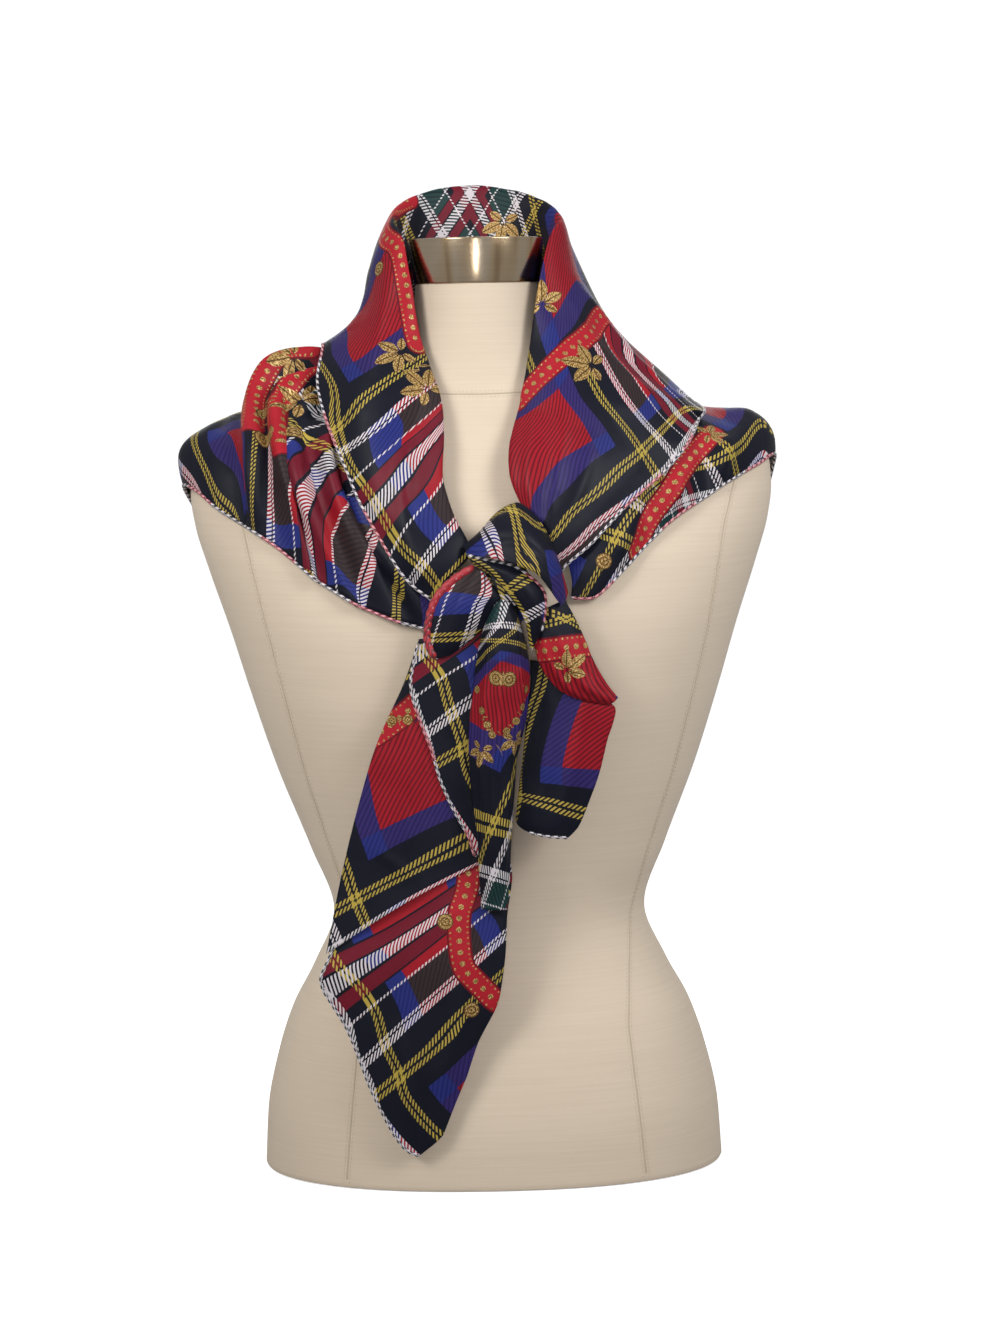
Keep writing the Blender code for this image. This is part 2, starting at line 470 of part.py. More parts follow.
def clear_the_form(grid):
    """Move out what is too near the form, tested at the points and in the middle of the faces."""
    for _ in range(CLEARING_ROUNDS):
        at_points, ways = form_shortfall(grid)
        in_faces, _ = form_shortfall(face_middles(grid))
        grid = grid + ways * np.maximum(at_points, spread_to_corners(in_faces))[..., None]
    return grid


def layer_shortfall(points, tree):
    """How far points must be lifted to lie clear on the stretch below, seen from outside."""
    short = np.zeros(points.shape[:2])
    ways = np.zeros(points.shape)
    for index in np.ndindex(short.shape):
        _, way_out = form_distance(points[index])
        if points[index][1] < 0:
            way_out = way_out - np.array((0.0, FRONT_TILT, 0.0))
            way_out = way_out / np.linalg.norm(way_out)
        ways[index] = way_out
        side = np.cross(way_out, (0.0, 0.0, 1.0))
        side = side / max(float(np.linalg.norm(side)), 1e-6)
        up = np.cross(side, way_out)
        for a, b in ((0, 0), (1, 0), (-1, 0), (0, 1), (0, -1)):
            start = points[index] + way_out * LOOK_FROM + (side * a + up * b) * EDGE_REACH
            hit = tree.ray_cast(Vector(start), Vector(-way_out), LOOK_FROM + LAYER_STEP)
            if hit[0] is not None:
                short[index] = max(short[index], LOOK_FROM - hit[3] + LAYER_STEP - WALL / 2)
    return short, ways


def lie_on(grid, tree, from_column):
    """Lift a stretch off the one below it, softly round the places that need it."""
    at_points, ways = layer_shortfall(grid, tree)
    in_faces, _ = layer_shortfall(face_middles(grid), tree)
    needed = np.maximum(at_points, spread_to_corners(in_faces))
    needed[:, :from_column] = 0.0
    lift = needed
    for _ in range(SOFTENING_ROUNDS):
        padded = np.pad(lift, 1, mode="edge")
        around = (padded[:-2, 1:-1] + padded[2:, 1:-1] + padded[1:-1, :-2] + padded[1:-1, 2:]) / 4
        lift = np.maximum(needed, around)
    lift[:, :from_column] = 0.0
    return grid + ways * lift[..., None]


def smallest_gap(wall, neighbours):
    """Smallest distance between a wall and its neighbours, 0 where they cross."""
    gap = SETTLE_REACH
    for neighbour in neighbours:
        if wall.tree.overlap(neighbour.tree):
            return 0.0
        for points, tree in ((wall.vertices, neighbour.tree), (neighbour.vertices, wall.tree)):
            for point in points:
                distance = tree.find_nearest(Vector(point), gap)[3]
                if distance is not None:
                    gap = min(gap, distance)
    return gap


def settle(grid, neighbours, way):
    """Shift a stretch one way until it all but touches a neighbour."""
    for _ in range(SETTLE_ROUNDS):
        spare = smallest_gap(Wall.round(grid), neighbours) - SETTLE_GAP
        if spare < SETTLE_GAP / 10:
            break
        grid = grid + way * spare
    return grid


class Wall(namedtuple("Wall", "vertices faces tree")):
    """Closed wall round a grid, with a tree that finds what is near it."""
    @classmethod
    def round(cls, grid):
        return cls.of(*walled(grid))

    @classmethod
    def of(cls, vertices, faces):
        return cls(vertices, faces, BVHTree.FromPolygons([tuple(p) for p in vertices], faces))


def walled(grid):
    """Closed wall round a grid: its outer and inner faces and the strip along its border."""
    normal = grid_normals(grid)
    rows, columns = grid.shape[:2]
    outer = (grid + normal * WALL / 2).reshape(-1, 3)
    inner = (grid - normal * WALL / 2).reshape(-1, 3)
    vertices = np.concatenate([outer, inner])
    shift = rows * columns
    faces = []
    for i in range(rows - 1):
        for j in range(columns - 1):
            a, b = i * columns + j, i * columns + j + 1
            c, d = b + columns, a + columns
            faces.append((a, d, c, b))
            faces.append((a + shift, b + shift, c + shift, d + shift))
    border = ([(0, j) for j in range(columns)] + [(i, columns - 1) for i in range(1, rows)]
              + [(rows - 1, j) for j in range(columns - 2, -1, -1)]
              + [(i, 0) for i in range(rows - 2, 0, -1)])
    ring = [i * columns + j for i, j in border]
    for a, b in zip(ring, ring[1:] + ring[:1]):
        faces.append((a, b, b + shift, a + shift))
    return vertices, faces


def new_object(name, vertices, faces, finish):
    """Mesh object from points in millimetres, faces out, with its own material."""
    mesh = bpy.data.meshes.new(name)
    mesh.from_pydata([tuple(float(c) * MM for c in p) for p in vertices], [], faces)
    shape = bmesh.new()
    shape.from_mesh(mesh)
    bmesh.ops.triangulate(shape, faces=[f for f in shape.faces if len(f.verts) == 4])
    bmesh.ops.recalc_face_normals(shape, faces=shape.faces)
    shape.to_mesh(mesh)
    shape.free()
    mesh.shade_smooth()
    material = bpy.data.materials.new(name)
    material.use_nodes = True
    shader = material.node_tree.nodes["Principled BSDF"]
    shader.inputs["Base Color"].default_value = (*finish.colour, 1.0)
    shader.inputs["Roughness"].default_value = finish.roughness
    shader.inputs["Metallic"].default_value = finish.metallic
    mesh.materials.append(material)
    made = bpy.data.objects.new(name, mesh)
    bpy.context.scene.collection.objects.link(made)
    return made


# ---------------------------------------------------------------- the form
def form_ring(height):
    """One superellipse ring of the form."""
    half, front_depth, back_depth, power = form_section(height)
    ring = []
    for k in range(FORM_RING):
        angle = 2 * math.pi * k / FORM_RING
        c, s = math.cos(angle), math.sin(angle)
        depth = front_depth if s < 0 else back_depth
        ring.append((half * math.copysign(abs(c) ** (2 / power), c),
                     depth * math.copysign(abs(s) ** (2 / power), s), height))
    return ring


def form_heights():
    """Ring heights, closer together over the shoulders and up to the neck."""
    return [*np.linspace(0.0, FORM_LOW_TOP, FORM_LOW_RINGS), *FORM_HIGH_RINGS, FORM_TOP]


def closed_column(rings):
    """Vertices and faces of a column through rings of points, closed at both ends."""
    around = len(rings[0])
    vertices = [p for ring in rings for p in ring]
    faces = [tuple(range(around - 1, -1, -1)), tuple(range(len(vertices) - around, len(vertices)))]
    for i in range(len(rings) - 1):
        for k in range(around):
            a, b = i * around + k, i * around + (k + 1) % around
            faces.append((a, b, b + around, a + around))
    return vertices, faces


def build_form():
    """Torso and neck, parted at the sloping neck seam. Returns the whole as one wall."""
    vertices, faces = closed_column([form_ring(height) for height in form_heights()])
    slope = math.radians(SEAM_SLOPE)
    normal = Vector((0.0, -math.sin(slope), math.cos(slope)))
    for name, keeps_top, shift in (("form_torso", False, 0.0), ("form_neck", True, SEAM_GAP)):
        made = new_object(name, vertices, faces, LINEN)
        shape = bmesh.new()
        shape.from_mesh(made.data)
        cut = bmesh.ops.bisect_plane(
            shape, geom=shape.verts[:] + shape.edges[:] + shape.faces[:], dist=1e-7,
            plane_co=(Vector((0.0, 0.0, SEAM_HEIGHT)) + normal * shift) * MM, plane_no=normal,
            clear_inner=keeps_top, clear_outer=not keeps_top)
        rim = [e for e in cut["geom_cut"] if isinstance(e, bmesh.types.BMEdge)]
        bmesh.ops.edgeloop_fill(shape, edges=rim)
        bmesh.ops.recalc_face_normals(shape, faces=shape.faces)
        shape.to_mesh(made.data)
        shape.free()
    return Wall.of(vertices, faces)


def build_cap():
    """Metal neck cap: a short cone, wider at its top, with rounded edges."""
    (foot, foot_radius), (head, head_radius) = CAP_FOOT, CAP_HEAD
    profile = ((foot, foot_radius - CAP_EDGE), (foot + CAP_EDGE, foot_radius),
               (head - CAP_EDGE, head_radius), (head, head_radius - CAP_EDGE))
    turns = [2 * math.pi * k / CAP_RING for k in range(CAP_RING)]
    vertices, faces = closed_column([[(radius * math.cos(turn), radius * math.sin(turn), height)
                                      for turn in turns] for height, radius in profile])
    made = new_object("neck_cap", vertices, faces, STEEL)
    made.data.set_sharp_from_angle(angle=CAP_SHARP)


# ---------------------------------------------------------------- the scarf
def build_knot_core():
    """Rounded solid for the layers that lie hidden in the knot."""
    rings, around = KNOT_CORE_RINGS, KNOT_CORE_AROUND
    (cx, cy, cz), (rx, ry, rz) = KNOT_CORE_CENTRE, KNOT_CORE_HALF
    vertices = [(cx, cy, cz - rz)]
    for i in range(1, rings):
        angle = math.pi * i / rings
        for k in range(around):
            turn = 2 * math.pi * k / around
            vertices.append((cx + rx * math.sin(angle) * math.cos(turn),
                             cy + ry * math.sin(angle) * math.sin(turn), cz - rz * math.cos(angle)))
    vertices.append((cx, cy, cz + rz))
    top = len(vertices) - 1
    faces = []
    for k in range(around):
        after = (k + 1) % around
        faces.append((0, 1 + after, 1 + k))
        faces.append((top, top - around + k, top - around + after))
        for i in range(rings - 2):
            a, b = 1 + i * around + k, 1 + i * around + after
            faces.append((a, b, b + around, a + around))
    new_object("knot_core", vertices, faces, NAVY_SILK)
    return Wall.of(vertices, faces)


def build_scarf(form, core):
    """Each stretch in turn, from the form outwards."""
    grids = {}
    walls = {"form": form, "core": core}
    for stretch in STRETCHES:
        if any(len(row) != len(stretch.columns) for row in stretch.table):
            raise ValueError(stretch.name + ": a row doesn't fit the columns")
        grid = clear_the_form(surface_through(stretch.table, stretch.along, stretch.across))
        for below in stretch.over:
            grid = lie_on(grid, walls[below].tree, stretch.columns.index(stretch.lies_from) * stretch.across)
        if stretch.name in SETTLE_BACK:
            grid = settle(grid, walls.values(), BACKWARDS)
        grids[stretch.name] = grid
        walls[stretch.name] = Wall.round(grid)
    for name in SETTLE_FORWARD:
        others = [wall for other, wall in walls.items() if other != name]
        walls[name] = Wall.round(settle(grids[name], others, FORWARDS))
    for stretch in STRETCHES:
        wall = walls[stretch.name]
        new_object(stretch.name, wall.vertices, wall.faces, stretch.finish)


def main():
    for old in list(bpy.data.objects):
        bpy.data.objects.remove(old, do_unlink=True)
    form = build_form()
    build_cap()
    build_scarf(form, build_knot_core())


main()
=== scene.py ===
"""Silk square scarf tied in front, on a limbless dress form: its finished surfaces.

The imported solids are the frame. Every stretch of cloth is worked out again from its sections, made
finer, creased and given the tartan; the form gets its linen, seams and metal cap. The tables are in
millimetres and degrees, meshes and materials in metres.
"""

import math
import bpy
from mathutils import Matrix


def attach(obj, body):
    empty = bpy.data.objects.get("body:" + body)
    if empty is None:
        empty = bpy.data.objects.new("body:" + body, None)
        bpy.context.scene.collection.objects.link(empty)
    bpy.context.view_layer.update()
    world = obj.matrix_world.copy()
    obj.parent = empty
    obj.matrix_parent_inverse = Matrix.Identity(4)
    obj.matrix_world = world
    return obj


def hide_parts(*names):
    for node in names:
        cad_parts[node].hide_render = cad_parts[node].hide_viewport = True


bl_info = {
    "name": "Silk Square Scarf on a Dress Form",
    "version": (1, 0, 0),
    "blender": (4, 5, 0),
    "location": "3D View > Sidebar > Scarf",
    "description": "Builds the finished scarf, dress form and stage round the packed frame",
    "category": "Object",
}

from collections import namedtuple
from functools import lru_cache

import bpy
import numpy as np
from bpy.props import FloatProperty, FloatVectorProperty, PointerProperty
from mathutils import Matrix, Vector
from mathutils.bvhtree import BVHTree

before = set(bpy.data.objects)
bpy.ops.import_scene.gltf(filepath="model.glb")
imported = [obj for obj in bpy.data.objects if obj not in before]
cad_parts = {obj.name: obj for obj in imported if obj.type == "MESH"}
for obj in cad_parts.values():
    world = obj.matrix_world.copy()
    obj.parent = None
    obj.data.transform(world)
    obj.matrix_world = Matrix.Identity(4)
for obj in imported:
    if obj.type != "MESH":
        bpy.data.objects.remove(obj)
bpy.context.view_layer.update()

MM = 0.001              # one millimetre in metres
TINY = 1e-6             # keeps a division from zero

# ---------------------------------------------------------------- how the cloth lies, as in its solids
WALL = 1.5              # cloth wall of a stretch's solid
SEAM_GAP = 0.3          # between the torso and the neck at their seam
FORM_CLEARANCE = 1.25   # cloth mid-surface above the form, at least
SHELL_CLEARANCE = 0.6   # the same for the thin silk
LAYER_STEP = 2.3        # mid-surface to mid-surface where one stretch lies on another
EDGE_REACH = 3.5        # how far past an edge the stretch above is still carried
LOOK_FROM = 120.0       # distance outside the form from which layers are measured
FRONT_TILT = 0.5        # how much the lift of a stretch in front leans forward
CLEARING_ROUNDS = 3     # passes that clear a stretch of the form
SOFTENING_ROUNDS = 3    # passes that soften where one stretch is lifted over another
SETTLE_GAP = 0.35       # gap at which a stretch that hangs in front has settled on its neighbours
SETTLE_REACH = 12.0     # how far away neighbours are looked for
SETTLE_ROUNDS = 40
SETTLED = SETTLE_GAP / 10   # spare gap that is as good as none

FORM_TOP = 680.7        # top of the form's neck
SEAM_HEIGHT = 611.0     # neck seam at the sides
SEAM_SLOPE = 12.0       # degrees, the seam drops towards the front
CAP_FOOT = (681.0, 48.0)    # height and radius where the cap sits on the neck
CAP_HEAD = (715.0, 51.5)    # height and radius of its top
CAP_EDGE = 1.0              # rounded edge

# Form: height, half width, depth in front, depth behind, roundness power
FormSection = namedtuple("FormSection", "height half front back power")
FORM = [FormSection(*row) for row in (
    (0, 179, 110, 106, 2.3), (45, 176, 113, 109, 2.3), (91, 166, 110, 107, 2.3),
    (123, 155, 105, 102, 2.3), (155, 138, 98, 95, 2.25), (199, 121, 90, 84, 2.2),
    (250, 138, 97, 88, 2.25), (313, 162, 110, 95, 2.3), (376, 182, 123, 101, 2.3),
    (420, 195, 126, 104, 2.3), (469, 211, 118, 106, 2.3), (500, 220, 106, 105, 2.3),
    (523, 223, 95, 102, 2.3), (548, 221, 83, 96, 2.3), (560, 215, 77, 92, 2.3),
    (567, 206, 73, 88, 2.25), (573, 188, 70, 84, 2.2), (580, 160, 67, 80, 2.15),
    (589, 128, 64, 76, 2.1), (599, 98, 60, 72, 2.1), (610, 76, 56, 68, 2.05),
    (623, 62, 53, 62, 2.0), (636, 55, 51, 57, 2.0), (650, 51, 49.5, 52.5, 2.0),
    (681, 47, 47, 47, 2.0),
)]


# ---------------------------------------------------------------- the form as a formula
def smooth_column(heights, values, height):
    """Monotone cubic through a column of the form's table."""
    step = np.diff(heights)
    slope = np.diff(values) / step
    tangent = np.zeros(len(heights))
    tangent[0], tangent[-1] = slope[0], slope[-1]
    for i in range(1, len(heights) - 1):
        if slope[i - 1] * slope[i] > 0:
            before = (2 * step[i] + step[i - 1]) / slope[i - 1]
            after = (step[i] + 2 * step[i - 1]) / slope[i]
            tangent[i] = 3 * (step[i - 1] + step[i]) / (before + after)
    height = min(max(height, heights[0]), heights[-1])
    i = min(int(np.searchsorted(heights, height, side="right")) - 1, len(heights) - 2)
    t = (height - heights[i]) / step[i]
    rest = 1 - t
    return ((1 + 2 * t) * rest * rest * values[i] + t * rest * rest * step[i] * tangent[i]
            + t * t * (3 - 2 * t) * values[i + 1] - t * t * rest * step[i] * tangent[i + 1])


# The table read off at close heights
SECTION_STEP = 0.5
FORM_COLUMNS = np.array(FORM, float).T
SECTION_HEIGHTS = np.arange(0.0, FORM_COLUMNS[0][-1] + SECTION_STEP, SECTION_STEP)
SECTION_VALUES = np.array([[smooth_column(FORM_COLUMNS[0], column, height)
                            for height in SECTION_HEIGHTS] for column in FORM_COLUMNS[1:]])


def form_section(height):
    """Half width, front depth, back depth and power of the form at a height, or at many."""
    return [np.interp(height, SECTION_HEIGHTS, column) for column in SECTION_VALUES]


def form_depth(x, z, side):
    """Y of the form's surface at x and z: side -1 is the front, 1 the back."""
    half, front_depth, back_depth, power = form_section(z)
    rest = max(0.0, 1 - (abs(x) / half) ** power)
    return side * (front_depth if side < 0 else back_depth) * rest ** (1 / power)


def form_level(points):
    """1 on the form's surface, less inside it, more outside."""
    x, y, z = np.moveaxis(points, -1, 0)
    half, front_depth, back_depth, power = form_section(z)
    depth = np.where(y < 0, front_depth, back_depth)
    return ((np.abs(x) / half) ** power + (np.abs(y) / depth) ** power) ** (1 / power)


def form_distance(points):
    """Rough distance of points from the form's surface (positive outside) and the ways out."""
    slope = np.stack([form_level(points + axis / 2) - form_level(points - axis / 2)
                      for axis in np.eye(3)], axis=-1)
    steep = np.maximum(np.linalg.norm(slope, axis=-1), TINY)
    return (form_level(points) - 1) / steep, slope / steep[..., None]


def front(x, z, lift):
    """A point in front of the form, lifted off its surface."""
    return (x, form_depth(x, z, -1) - lift, z)


def back(x, z, lift):
    """A point behind the form, lifted off its surface."""
    return (x, form_depth(x, z, 1) + lift, z)


# ---------------------------------------------------------------- tables of the scarf's stretches
# Each point is x, y and z, or front or back of x, z and its lift off the form.
# Collar: the folded edge stands up round the neck and rolls over into two lapels and a back flap.
# A row is one section across it, from the left of the knot round the neck to its right.
COLLAR_COLUMNS = ("stand_low", "stand_mid", "roll", "upper", "lower", "hem")
COLLAR = (
    (front(-28, 470, 6), front(-14, 480, 9), front(-6, 484, 16),
     front(-14, 476, 21), front(-26, 464, 20), front(-35, 450, 14)),
    (front(-36, 490, 6), front(-21, 496, 11), front(-13, 498, 20),
     front(-26, 488, 26), front(-42, 474, 25), front(-52, 463, 13)),
    (front(-46, 508, 6), front(-30, 513, 11), front(-21, 514, 20),
     front(-38, 505, 28), front(-54, 493, 27), front(-66, 482, 13)),
    (front(-54, 537, 6), front(-36, 538, 11), front(-28, 537, 20),
     front(-48, 529, 29), front(-70, 522, 28), front(-87, 519, 15)),
    (front(-55, 565, 6), front(-36, 563, 11), front(-27, 562, 19),
     front(-50, 556, 29), front(-78, 551, 29), front(-101, 551, 17)),
    (front(-52, 588, 6), front(-36, 586, 9), front(-27, 584, 16),
     front(-52, 580, 27), front(-86, 578, 30), front(-114, 581, 18)),
    ((-55, -54, 608), (-42, -62, 608), (-31, -69, 606),
     (-52, -79, 604), (-88, -76, 602), (-121, -42, 608)),
    ((-57, -34, 634), (-50, -42, 637), (-43, -47, 640),
     (-62, -56, 636), (-89, -52, 628), (-119, -24, 626)),
    ((-59, -22, 642), (-54, -28, 664), (-50, -33, 682),
     (-66, -36, 668), (-88, -30, 648), (-118, -10, 635)),
    ((-60, -8, 645), (-57, -13, 690), (-56, -16, 715),
     (-71, -16, 694), (-88, -10, 660), (-117, 2, 636)),
    ((-60, 10, 646), (-60, 9, 698), (-64, 10, 730),
     (-79, 8, 702), (-90, 10, 662), (-115, 18, 630)),
    ((-50, 38, 646), (-51, 40, 702), (-58, 43, 743),
     (-75, 50, 712), (-88, 55, 664), (-106, 54, 614)),
    ((-31, 56, 646), (-34, 60, 704), (-38, 68, 753),
     (-49, 83, 722), (-57, 92, 664), (-68, 90, 590)),
    ((-3, 64, 646), (-3, 68, 706), (-3, 80, 758),
     (-3, 96, 724), (-3, 104, 656), (-3, 112, 548)),
    ((27, 57, 646), (29, 61, 704), (34, 68, 752),
     (46, 85, 718), (62, 96, 656), (88, 96, 576)),
    ((47, 40, 646), (49, 42, 702), (57, 42, 741),
     (74, 52, 706), (97, 60, 652), (140, 58, 600)),
    ((59, 10, 646), (59, 9, 698), (66, 9, 728),
     (79, 8, 686), (108, 8, 642), (163, 16, 588)),
    ((59, -10, 645), (56, -14, 690), (58, -13, 718),
     (73, -16, 686), (107, -14, 640), (168, -12, 585)),
    ((58, -24, 640), (53, -30, 662), (48, -35, 684),
     (70, -38, 660), (107, -36, 624), (170, -28, 583)),
    ((56, -38, 626), (48, -44, 632), (40, -49, 638),
     (65, -58, 634), (109, -58, 609), (169, -44, 580)),
    ((55, -52, 604), (43, -61, 606), (34, -68, 605),
     (62, -80, 600), (112, -78, 588), front(165, 575, 12)),
    (front(54, 584, 6), front(38, 584, 9), front(29, 582, 16),
     front(60, 578, 29), front(108, 568, 25), front(155, 559, 13)),
    (front(52, 561, 6), front(33, 562, 11), front(23, 561, 20),
     front(56, 555, 31), front(98, 547, 26), front(135, 538, 15)),
    (front(52, 536, 6), front(33, 537, 12), front(23, 537, 22),
     front(52, 530, 31), front(84, 523, 26), front(110, 518, 16)),
    (front(56, 512, 6), front(40, 514, 12), front(32, 515, 20),
     front(50, 509, 26), front(66, 500, 24), front(80, 489, 15)),
    (front(60, 492, 6), front(49, 498, 10), front(41, 502, 17),
     front(49, 494, 22), front(55, 484, 20), front(60, 473, 14)),
    (front(60, 476, 6), front(53, 482, 8), front(48, 487, 13),
     front(51, 480, 16), front(54, 472, 15), front(56, 463, 11)),
)

# Cape: the lower layer on the shoulders. A row is one pleat ridge or one valley, or a plain
# section at the tips, from under the collar out to the lower edge.
CAPE_COLUMNS = ("inner", "crest", "shoulder", "upper", "middle", "lower", "edge")
CAPE_LEFT = (
    (front(-50, 545, 2), front(-47, 530, 2), front(-43, 515, 2), front(-38, 500, 2),
     front(-33, 484, 2), front(-26, 464, 3), front(-20, 442, 4)),
    (front(-60, 572, 2), front(-72, 560, 6), front(-82, 548, 10), front(-85, 532, 13),
     front(-80, 508, 14), front(-64, 474, 14), front(-36, 430, 9)),
    (front(-62, 588, 2), front(-82, 580, 4), front(-96, 568, 6), front(-103, 552, 7),
     front(-99, 524, 7), front(-80, 486, 7), front(-52, 432, 5)),
    ((-66, -48, 607), front(-92, 594, 8), front(-108, 584, 12), front(-114, 566, 16),
     front(-108, 536, 17), front(-92, 497, 14), front(-65, 436, 8)),
    ((-70, -44, 607), front(-98, 594, 4), front(-118, 586, 5), front(-128, 572, 6),
     front(-124, 536, 7), front(-112, 501, 6), front(-86, 444, 4)),
    ((-70, -38, 612), (-104, -34, 610), (-130, -42, 598), front(-139, 582, 19),
     front(-135, 546, 18), front(-126, 512, 15), front(-96, 449, 7)),
    ((-74, -30, 611), (-106, -22, 603), (-133, -32, 596), (-147, -42, 584),
     front(-142, 552, 12), front(-133, 508, 7), front(-118, 462, 3)),
    ((-74, -20, 616), (-112, -13, 621), (-142, -22, 614), (-155, -33, 599),
     front(-150, 564, 20), front(-141, 526, 17), front(-125, 467, 7)),
    ((-80, -8, 612), (-115, -2, 611), (-149, -7, 608), (-163, -22, 593),
     front(-159, 560, 6), front(-156, 526, 6), front(-150, 487, 3)),
    ((-82, 16, 621), (-127, 6, 635), (-162, -2, 627), (-176, -18, 597),
     front(-173, 568, 20), front(-172, 536, 17), front(-171, 501, 7)),
    ((-82, 28, 614), (-128, 20, 596), (-160, 10, 592), (-179, -8, 584),
     front(-181, 562, 4), front(-178, 536, 4), front(-177, 504, 3)),
    ((-82, 38, 612), (-130, 30, 594), (-166, 18, 586), (-192, 0, 582),
     (-201, -28, 566), (-200, -48, 544), (-199, -57, 517)),
    ((-82, 46, 610), (-130, 40, 592), (-168, 28, 583), (-200, 8, 580),
     (-217, -14, 568), (-219, -28, 550), (-214, -40, 528)),
    ((-80, 54, 608), (-128, 50, 590), (-168, 40, 580), (-206, 22, 574),
     (-226, 4, 564), (-232, -4, 551), (-228, -14, 532)),
    ((-76, 62, 606), (-122, 62, 587), (-160, 58, 574), (-198, 48, 562),
     (-219, 34, 548), (-224, 26, 530), (-222, 20, 512)),
)
CAPE_BACK = (
    ((-75, 63, 606), (-121, 63, 587), (-159, 59, 574), (-197, 50, 562),
     (-217, 36, 547), (-222, 28, 529), (-220, 23, 510)),
    ((-66, 70, 604), back(-98, 582, 4), back(-128, 565, 5), back(-154, 543, 6),
     back(-172, 520, 6), back(-184, 497, 5), back(-190, 476, 3)),
    ((-48, 76, 604), back(-68, 578, 8), back(-88, 552, 11), back(-104, 524, 13),
     back(-117, 494, 12), back(-126, 464, 9), back(-130, 440, 4)),
    ((-26, 80, 604), back(-36, 574, 4), back(-46, 540, 4), back(-54, 506, 5),
     back(-59, 470, 5), back(-62, 434, 4), back(-62, 404, 2)),
    ((0, 82, 604), back(0, 572, 9), back(0, 534, 12), back(0, 492, 13),
     back(0, 450, 12), back(0, 410, 9), back(0, 376, 3)),
    ((26, 80, 604), back(36, 574, 4), back(48, 540, 4), back(56, 506, 5),
     back(62, 470, 5), back(65, 434, 4), back(66, 404, 2)),
    ((48, 76, 604), back(68, 578, 8), back(90, 552, 11), back(107, 524, 13),
     back(120, 496, 11), back(130, 468, 8), back(135, 444, 4)),
    ((66, 70, 604), back(98, 582, 4), back(128, 565, 5), back(156, 543, 6),
     back(175, 522, 6), back(187, 501, 5), back(194, 482, 3)),
    ((75, 63, 606), (121, 63, 587), (159, 59, 575), (196, 50, 564),
     (215, 37, 552), (222, 29, 537), (221, 24, 520)),
)
CAPE_RIGHT = (
    ((76, 62, 606), (122, 62, 587), (160, 58, 575), (197, 48, 565),
     (217, 34, 553), (224, 26, 538), (223, 20, 522)),
    ((80, 54, 608), (128, 50, 589), (170, 38, 580), (203, 22, 578),
     (219, 6, 572), (226, -2, 560), (226, -8, 547)),
    ((82, 42, 610), (132, 32, 592), (172, 16, 583), (204, 0, 581),
     (213, -16, 570), (215, -27, 557), (212, -35, 542)),
    ((84, 28, 614), (132, 14, 592), (166, 0, 584), (188, -18, 575),
     front(195, 562, 7), front(197, 549, 6), front(195, 534, 3)),
    ((82, 8, 616), (124, -10, 594), (150, -26, 584), (170, -42, 572),
     front(180, 556, 12), front(182, 542, 11), front(181, 527, 5)),
    ((79, -10, 615), (112, -26, 596), (138, -42, 582), front(154, 566, 6),
     front(164, 549, 6), front(168, 534, 5), front(168, 519, 3)),
    ((74, -30, 611), front(96, 590, 6), front(118, 574, 10), front(133, 556, 11),
     front(142, 538, 12), front(146, 522, 13), front(145, 506, 6)),
    ((68, -46, 606), front(84, 582, 4), front(102, 564, 5), front(114, 545, 6),
     front(121, 524, 7), front(124, 505, 7), front(122, 486, 4)),
    (front(62, 586, 2), front(73, 568, 5), front(84, 548, 9), front(93, 528, 12),
     front(100, 508, 15), front(104, 487, 15), front(102, 467, 7)),
    (front(58, 556, 2), front(64, 540, 3), front(70, 523, 5), front(76, 506, 8),
     front(81, 488, 11), front(84, 469, 12), front(83, 450, 7)),
    (front(54, 516, 2), front(57, 505, 2), front(60, 494, 2), front(62, 483, 3),
     front(64, 472, 5), front(66, 461, 6), front(65, 450, 6)),
)

# Knot and tails. A row is one section, from the stretch's left edge to its right one.
KNOT_COLUMNS = ("upper", "crown", "lower")
KNOT_LOOP = (
    ((-4, -146, 475), (-1, -149, 473), (2, -149, 470)),
    ((-19, -146, 466), (-3, -154, 460), (13, -151, 453)),
    ((-32, -145, 453), (-11, -156, 450), (10, -151, 446)),
    ((-38, -144, 436), (-18, -154, 435), (2, -149, 433)),
    ((-39, -144, 421), (-26, -151, 420), (-13, -147, 419)),
    ((-34, -145, 409), (-29, -147, 410), (-24, -146, 411)),
)
KNOT_BAND = (
    ((-11, -148, 484), (-8, -150, 480), (-5, -149, 476)),
    ((5, -154, 480), (6, -158, 475), (6, -155, 470)),
    ((22, -158, 476), (20, -163, 468), (17, -160, 459)),
    ((36, -159, 467), (31, -165, 458), (25, -160, 448)),
    ((45, -156, 456), (38, -163, 446), (31, -157, 435)),
    ((45, -152, 440), (39, -158, 431), (33, -152, 422)),
    ((42, -148, 427), (38, -151, 420), (35, -149, 414)),
)
WRAP_COLUMNS = ("tuck", "upper", "crown", "lower")
KNOT_WRAP = (
    ((-12, -134, 487), (-14, -138, 489), (-12, -143, 488), (-11, -146, 485)),
    ((2, -128, 497), (-1, -138, 501), (0, -152, 494), (1, -158, 483)),
    ((13, -124, 507), (11, -136, 513), (12, -157, 501), (13, -164, 481)),
    ((27, -124, 514), (27, -135, 520), (27, -159, 503), (26, -168, 477)),
    ((38, -130, 507), (40, -138, 511), (40, -159, 495), (39, -168, 472)),
    ((46, -136, 491), (50, -141, 495), (50, -158, 481), (47, -164, 463)),
    ((53, -138, 470), (58, -141, 473), (57, -153, 464), (53, -158, 453)),
    ((58, -138, 454), (62, -140, 456), (61, -147, 451), (57, -151, 446)),
)
TAIL_COLUMNS = ("left", "middle", "right")
